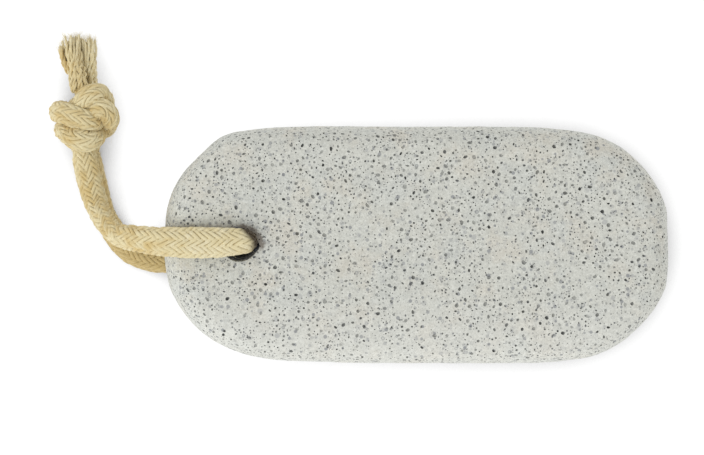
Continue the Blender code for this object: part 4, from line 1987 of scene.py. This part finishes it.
    def scatter(self, slab: Piece) -> np.ndarray:
        """Choose where the pores are.

        Args:
            slab: the stone without pores.

        Returns:
            Rows of centre, radius, face normal, family index and tone.
        """
        corners, normals, chance = self.likely_places(slab)
        draw = np.random.default_rng(self.seed)
        taken: dict[tuple[int, ...], list[np.ndarray]] = {}
        rows = []
        for index, family in enumerate(self.families):
            faces = draw.choice(len(chance), family.count, p=chance)
            weights = draw.dirichlet((1.0, 1.0, 1.0), family.count)
            spots = (corners[faces] * weights[:, :, None]).sum(1)
            low, high = family.mouth
            mouths = low + (high - low) * draw.random(family.count) ** 1.7
            sunk = draw.uniform(*family.sunk, family.count)
            wall_shades = draw.uniform(*family.tone, family.count)
            for spot, face, mouth, depth, tone in zip(spots, faces, mouths, sunk, wall_shades):
                radius = mouth / math.sqrt(1 - depth**2)
                centre = spot - normals[face] * radius * depth
                reach = radius * math.sqrt(family.stretch)
                cell = tuple(np.floor(centre / self.grid).astype(int))
                if self.crowded(taken, cell, centre, reach):
                    continue
                taken.setdefault(cell, []).append(np.array([*centre, reach]))
                rows.append([*centre, radius, *normals[face], index, tone])
        return np.array(rows)

    @staticmethod
    def crowded(
        taken: dict[tuple[int, ...], list[np.ndarray]],
        cell: tuple[int, ...],
        centre: np.ndarray,
        reach: float,
    ) -> bool:
        """Say whether a bubble would touch one that is already there.

        Args:
            taken: the bubbles there, as rows of centre and reach, by the grid cell that holds them.
            cell: the new bubble's cell.
            centre: its middle.
            reach: how far it reaches from that.

        Returns:
            Whether it would touch one.
        """
        for step in product((-1, 0, 1), repeat=3):
            for other in taken.get(tuple(np.add(cell, step)), ()):
                if np.linalg.norm(other[:3] - centre) < other[3] + reach + 0.01 * MM:
                    return True
        return False

    @staticmethod
    def ball(subdivisions: int) -> tuple[np.ndarray, np.ndarray]:
        """Model a ball of radius one.

        Args:
            subdivisions: how finely it is made.

        Returns:
            Its points and triangles.
        """
        deselect_all()
        bpy.ops.mesh.primitive_ico_sphere_add(subdivisions=subdivisions, radius=1.0)
        ball = bpy.context.object
        points = np.array([v.co for v in ball.data.vertices])
        triangles = np.array([f.vertices[:] for f in ball.data.polygons])
        mesh = ball.data
        bpy.data.objects.remove(ball)
        bpy.data.meshes.remove(mesh)
        return points, triangles

    def cutter(self, pores: np.ndarray) -> Piece:
        """Make one mesh of a ball for every pore.

        Args:
            pores: the rows that scatter returns.

        Returns:
            The mesh that the stone is cut with.
        """
        draw = np.random.default_rng(self.seed + 1)
        points, triangles, start = [], [], 0
        for index, family in enumerate(self.families):
            rows = pores[pores[:, 7] == index]
            ball, faces = self.ball(family.subdivisions)
            normal = rows[:, 4:7]
            along = unit(np.cross(normal, unit(draw.normal(size=normal.shape))))
            beside = np.cross(normal, along)
            frames = np.stack([along, beside, normal], axis=1)
            spin = draw.uniform(0, 2 * math.pi, (len(rows), 3))
            bubbles = self.turned(ball, spin)
            drawn = draw.uniform(1.0, family.stretch, len(rows)) ** 0.5
            bubbles *= np.column_stack([drawn, 1 / drawn, np.ones(len(rows))])[:, None, :]
            bubbles *= 1 - self.dents * draw.random(bubbles.shape[:2])[..., None]
            placed = rows[:, None, :3] + rows[:, None, 3:4] * (bubbles @ frames)
            points.append(placed.reshape(-1, 3))
            offsets = start + np.arange(len(rows)) * len(ball)
            triangles.append((faces[None] + offsets[:, None, None]).reshape(-1, 3))
            start += len(rows) * len(ball)
        return mesh_object("bubbles", np.vstack(points), np.vstack(triangles))

    @staticmethod
    def turned(ball: np.ndarray, spin: np.ndarray) -> np.ndarray:
        """Turn copies of a ball about Z and then X.

        Args:
            ball: its points.
            spin: rows of angles, one row for each copy, of which the first two are used.

        Returns:
            The points of each copy.
        """
        cos_z, sin_z = np.cos(spin[:, :1]), np.sin(spin[:, :1])
        cos_x, sin_x = np.cos(spin[:, 1:2]), np.sin(spin[:, 1:2])
        x = ball[:, 0] * cos_z - ball[:, 1] * sin_z
        y = ball[:, 0] * sin_z + ball[:, 1] * cos_z
        z = np.broadcast_to(ball[:, 2], x.shape)
        return np.stack([x, y * cos_x - z * sin_x, y * sin_x + z * cos_x], axis=2)

    def open_pores(self, slab: Piece, cutter: Piece) -> None:
        """Cut every bubble out of the stone, its walls marked by their material index.

        Args:
            slab: the stone.
            cutter: the bubbles.
        """
        slab.data.materials.clear()
        for name in ("face", "wall"):
            material = bpy.data.materials.new(name)
            slab.data.materials.append(material)
            cutter.data.materials.append(material)
        slab.data.polygons.foreach_set("material_index", np.zeros(len(slab.data.polygons), np.int32))
        cutter.data.polygons.foreach_set("material_index", np.ones(len(cutter.data.polygons), np.int32))
        self.change(slab, cutter, Change.CUT_AWAY)

    def merge_slivers(self, slab: Piece) -> None:
        """Merge the slivers that cutting leaves, and close what that opens.

        Args:
            slab: the pitted stone.
        """
        slab.data.calc_loop_triangles()
        thin = slab.modifiers.new("fewer_slivers", "DECIMATE")
        thin.ratio = self.most_triangles / len(slab.data.loop_triangles)
        apply_modifier(slab, thin.name)
        make_active(slab)
        bpy.ops.object.mode_set(mode="EDIT")
        bpy.ops.mesh.select_all(action="SELECT")
        bpy.ops.mesh.remove_doubles(threshold=0.006 * MM)
        bpy.ops.mesh.dissolve_degenerate(threshold=0.003 * MM)
        bpy.ops.mesh.fill_holes(sides=8)
        bpy.ops.object.mode_set(mode="OBJECT")

    def shade_pores(self, slab: Piece, pores: np.ndarray) -> None:
        """Store the painted shade of each wall under the name "pore", deeper parts darker.

        Args:
            slab: the pitted stone, its walls marked by their material index.
            pores: the rows that scatter returns.
        """
        mesh = slab.data
        count = len(mesh.polygons)
        walls = np.empty(count, np.int32)
        mesh.polygons.foreach_get("material_index", walls)
        centres = np.empty(count * 3, np.float32)
        mesh.polygons.foreach_get("center", centres)
        centres = centres.reshape(-1, 3)
        tree = kdtree.KDTree(len(pores))
        for k, row in enumerate(pores):
            tree.insert(row[:3], k)
        tree.balance()
        wall_shades = np.zeros(count, np.float32)
        for k in np.flatnonzero(walls):
            pore = pores[tree.find(centres[k])[1]]
            down = float(np.dot(pore[:3] - centres[k], pore[4:7])) / pore[3]
            # Painted shade: the deeper a wall lies in its pore, the darker it is made.
            wall_shades[k] = pore[8] * (0.72 + 0.28 * min(1.0, max(-1.0, down)))
        attribute = mesh.attributes.new("pore", "FLOAT", "FACE")
        attribute.data.foreach_set("value", wall_shades)
        LOG.info("pore walls: %d of %d faces", int((walls > 0).sum()), count)


def main() -> None:
    """Build the camera, the cord and the stone, in that order."""
    logging.basicConfig(level=logging.INFO, format="%(name)s: %(message)s")
    Studio().build()
    for piece in [*Cord().build(), PumiceSlab().build()]:
        piece.data.calc_loop_triangles()
        LOG.info("%s: %d triangles", piece.name, len(piece.data.loop_triangles))


if __name__ == "__main__":
    main()
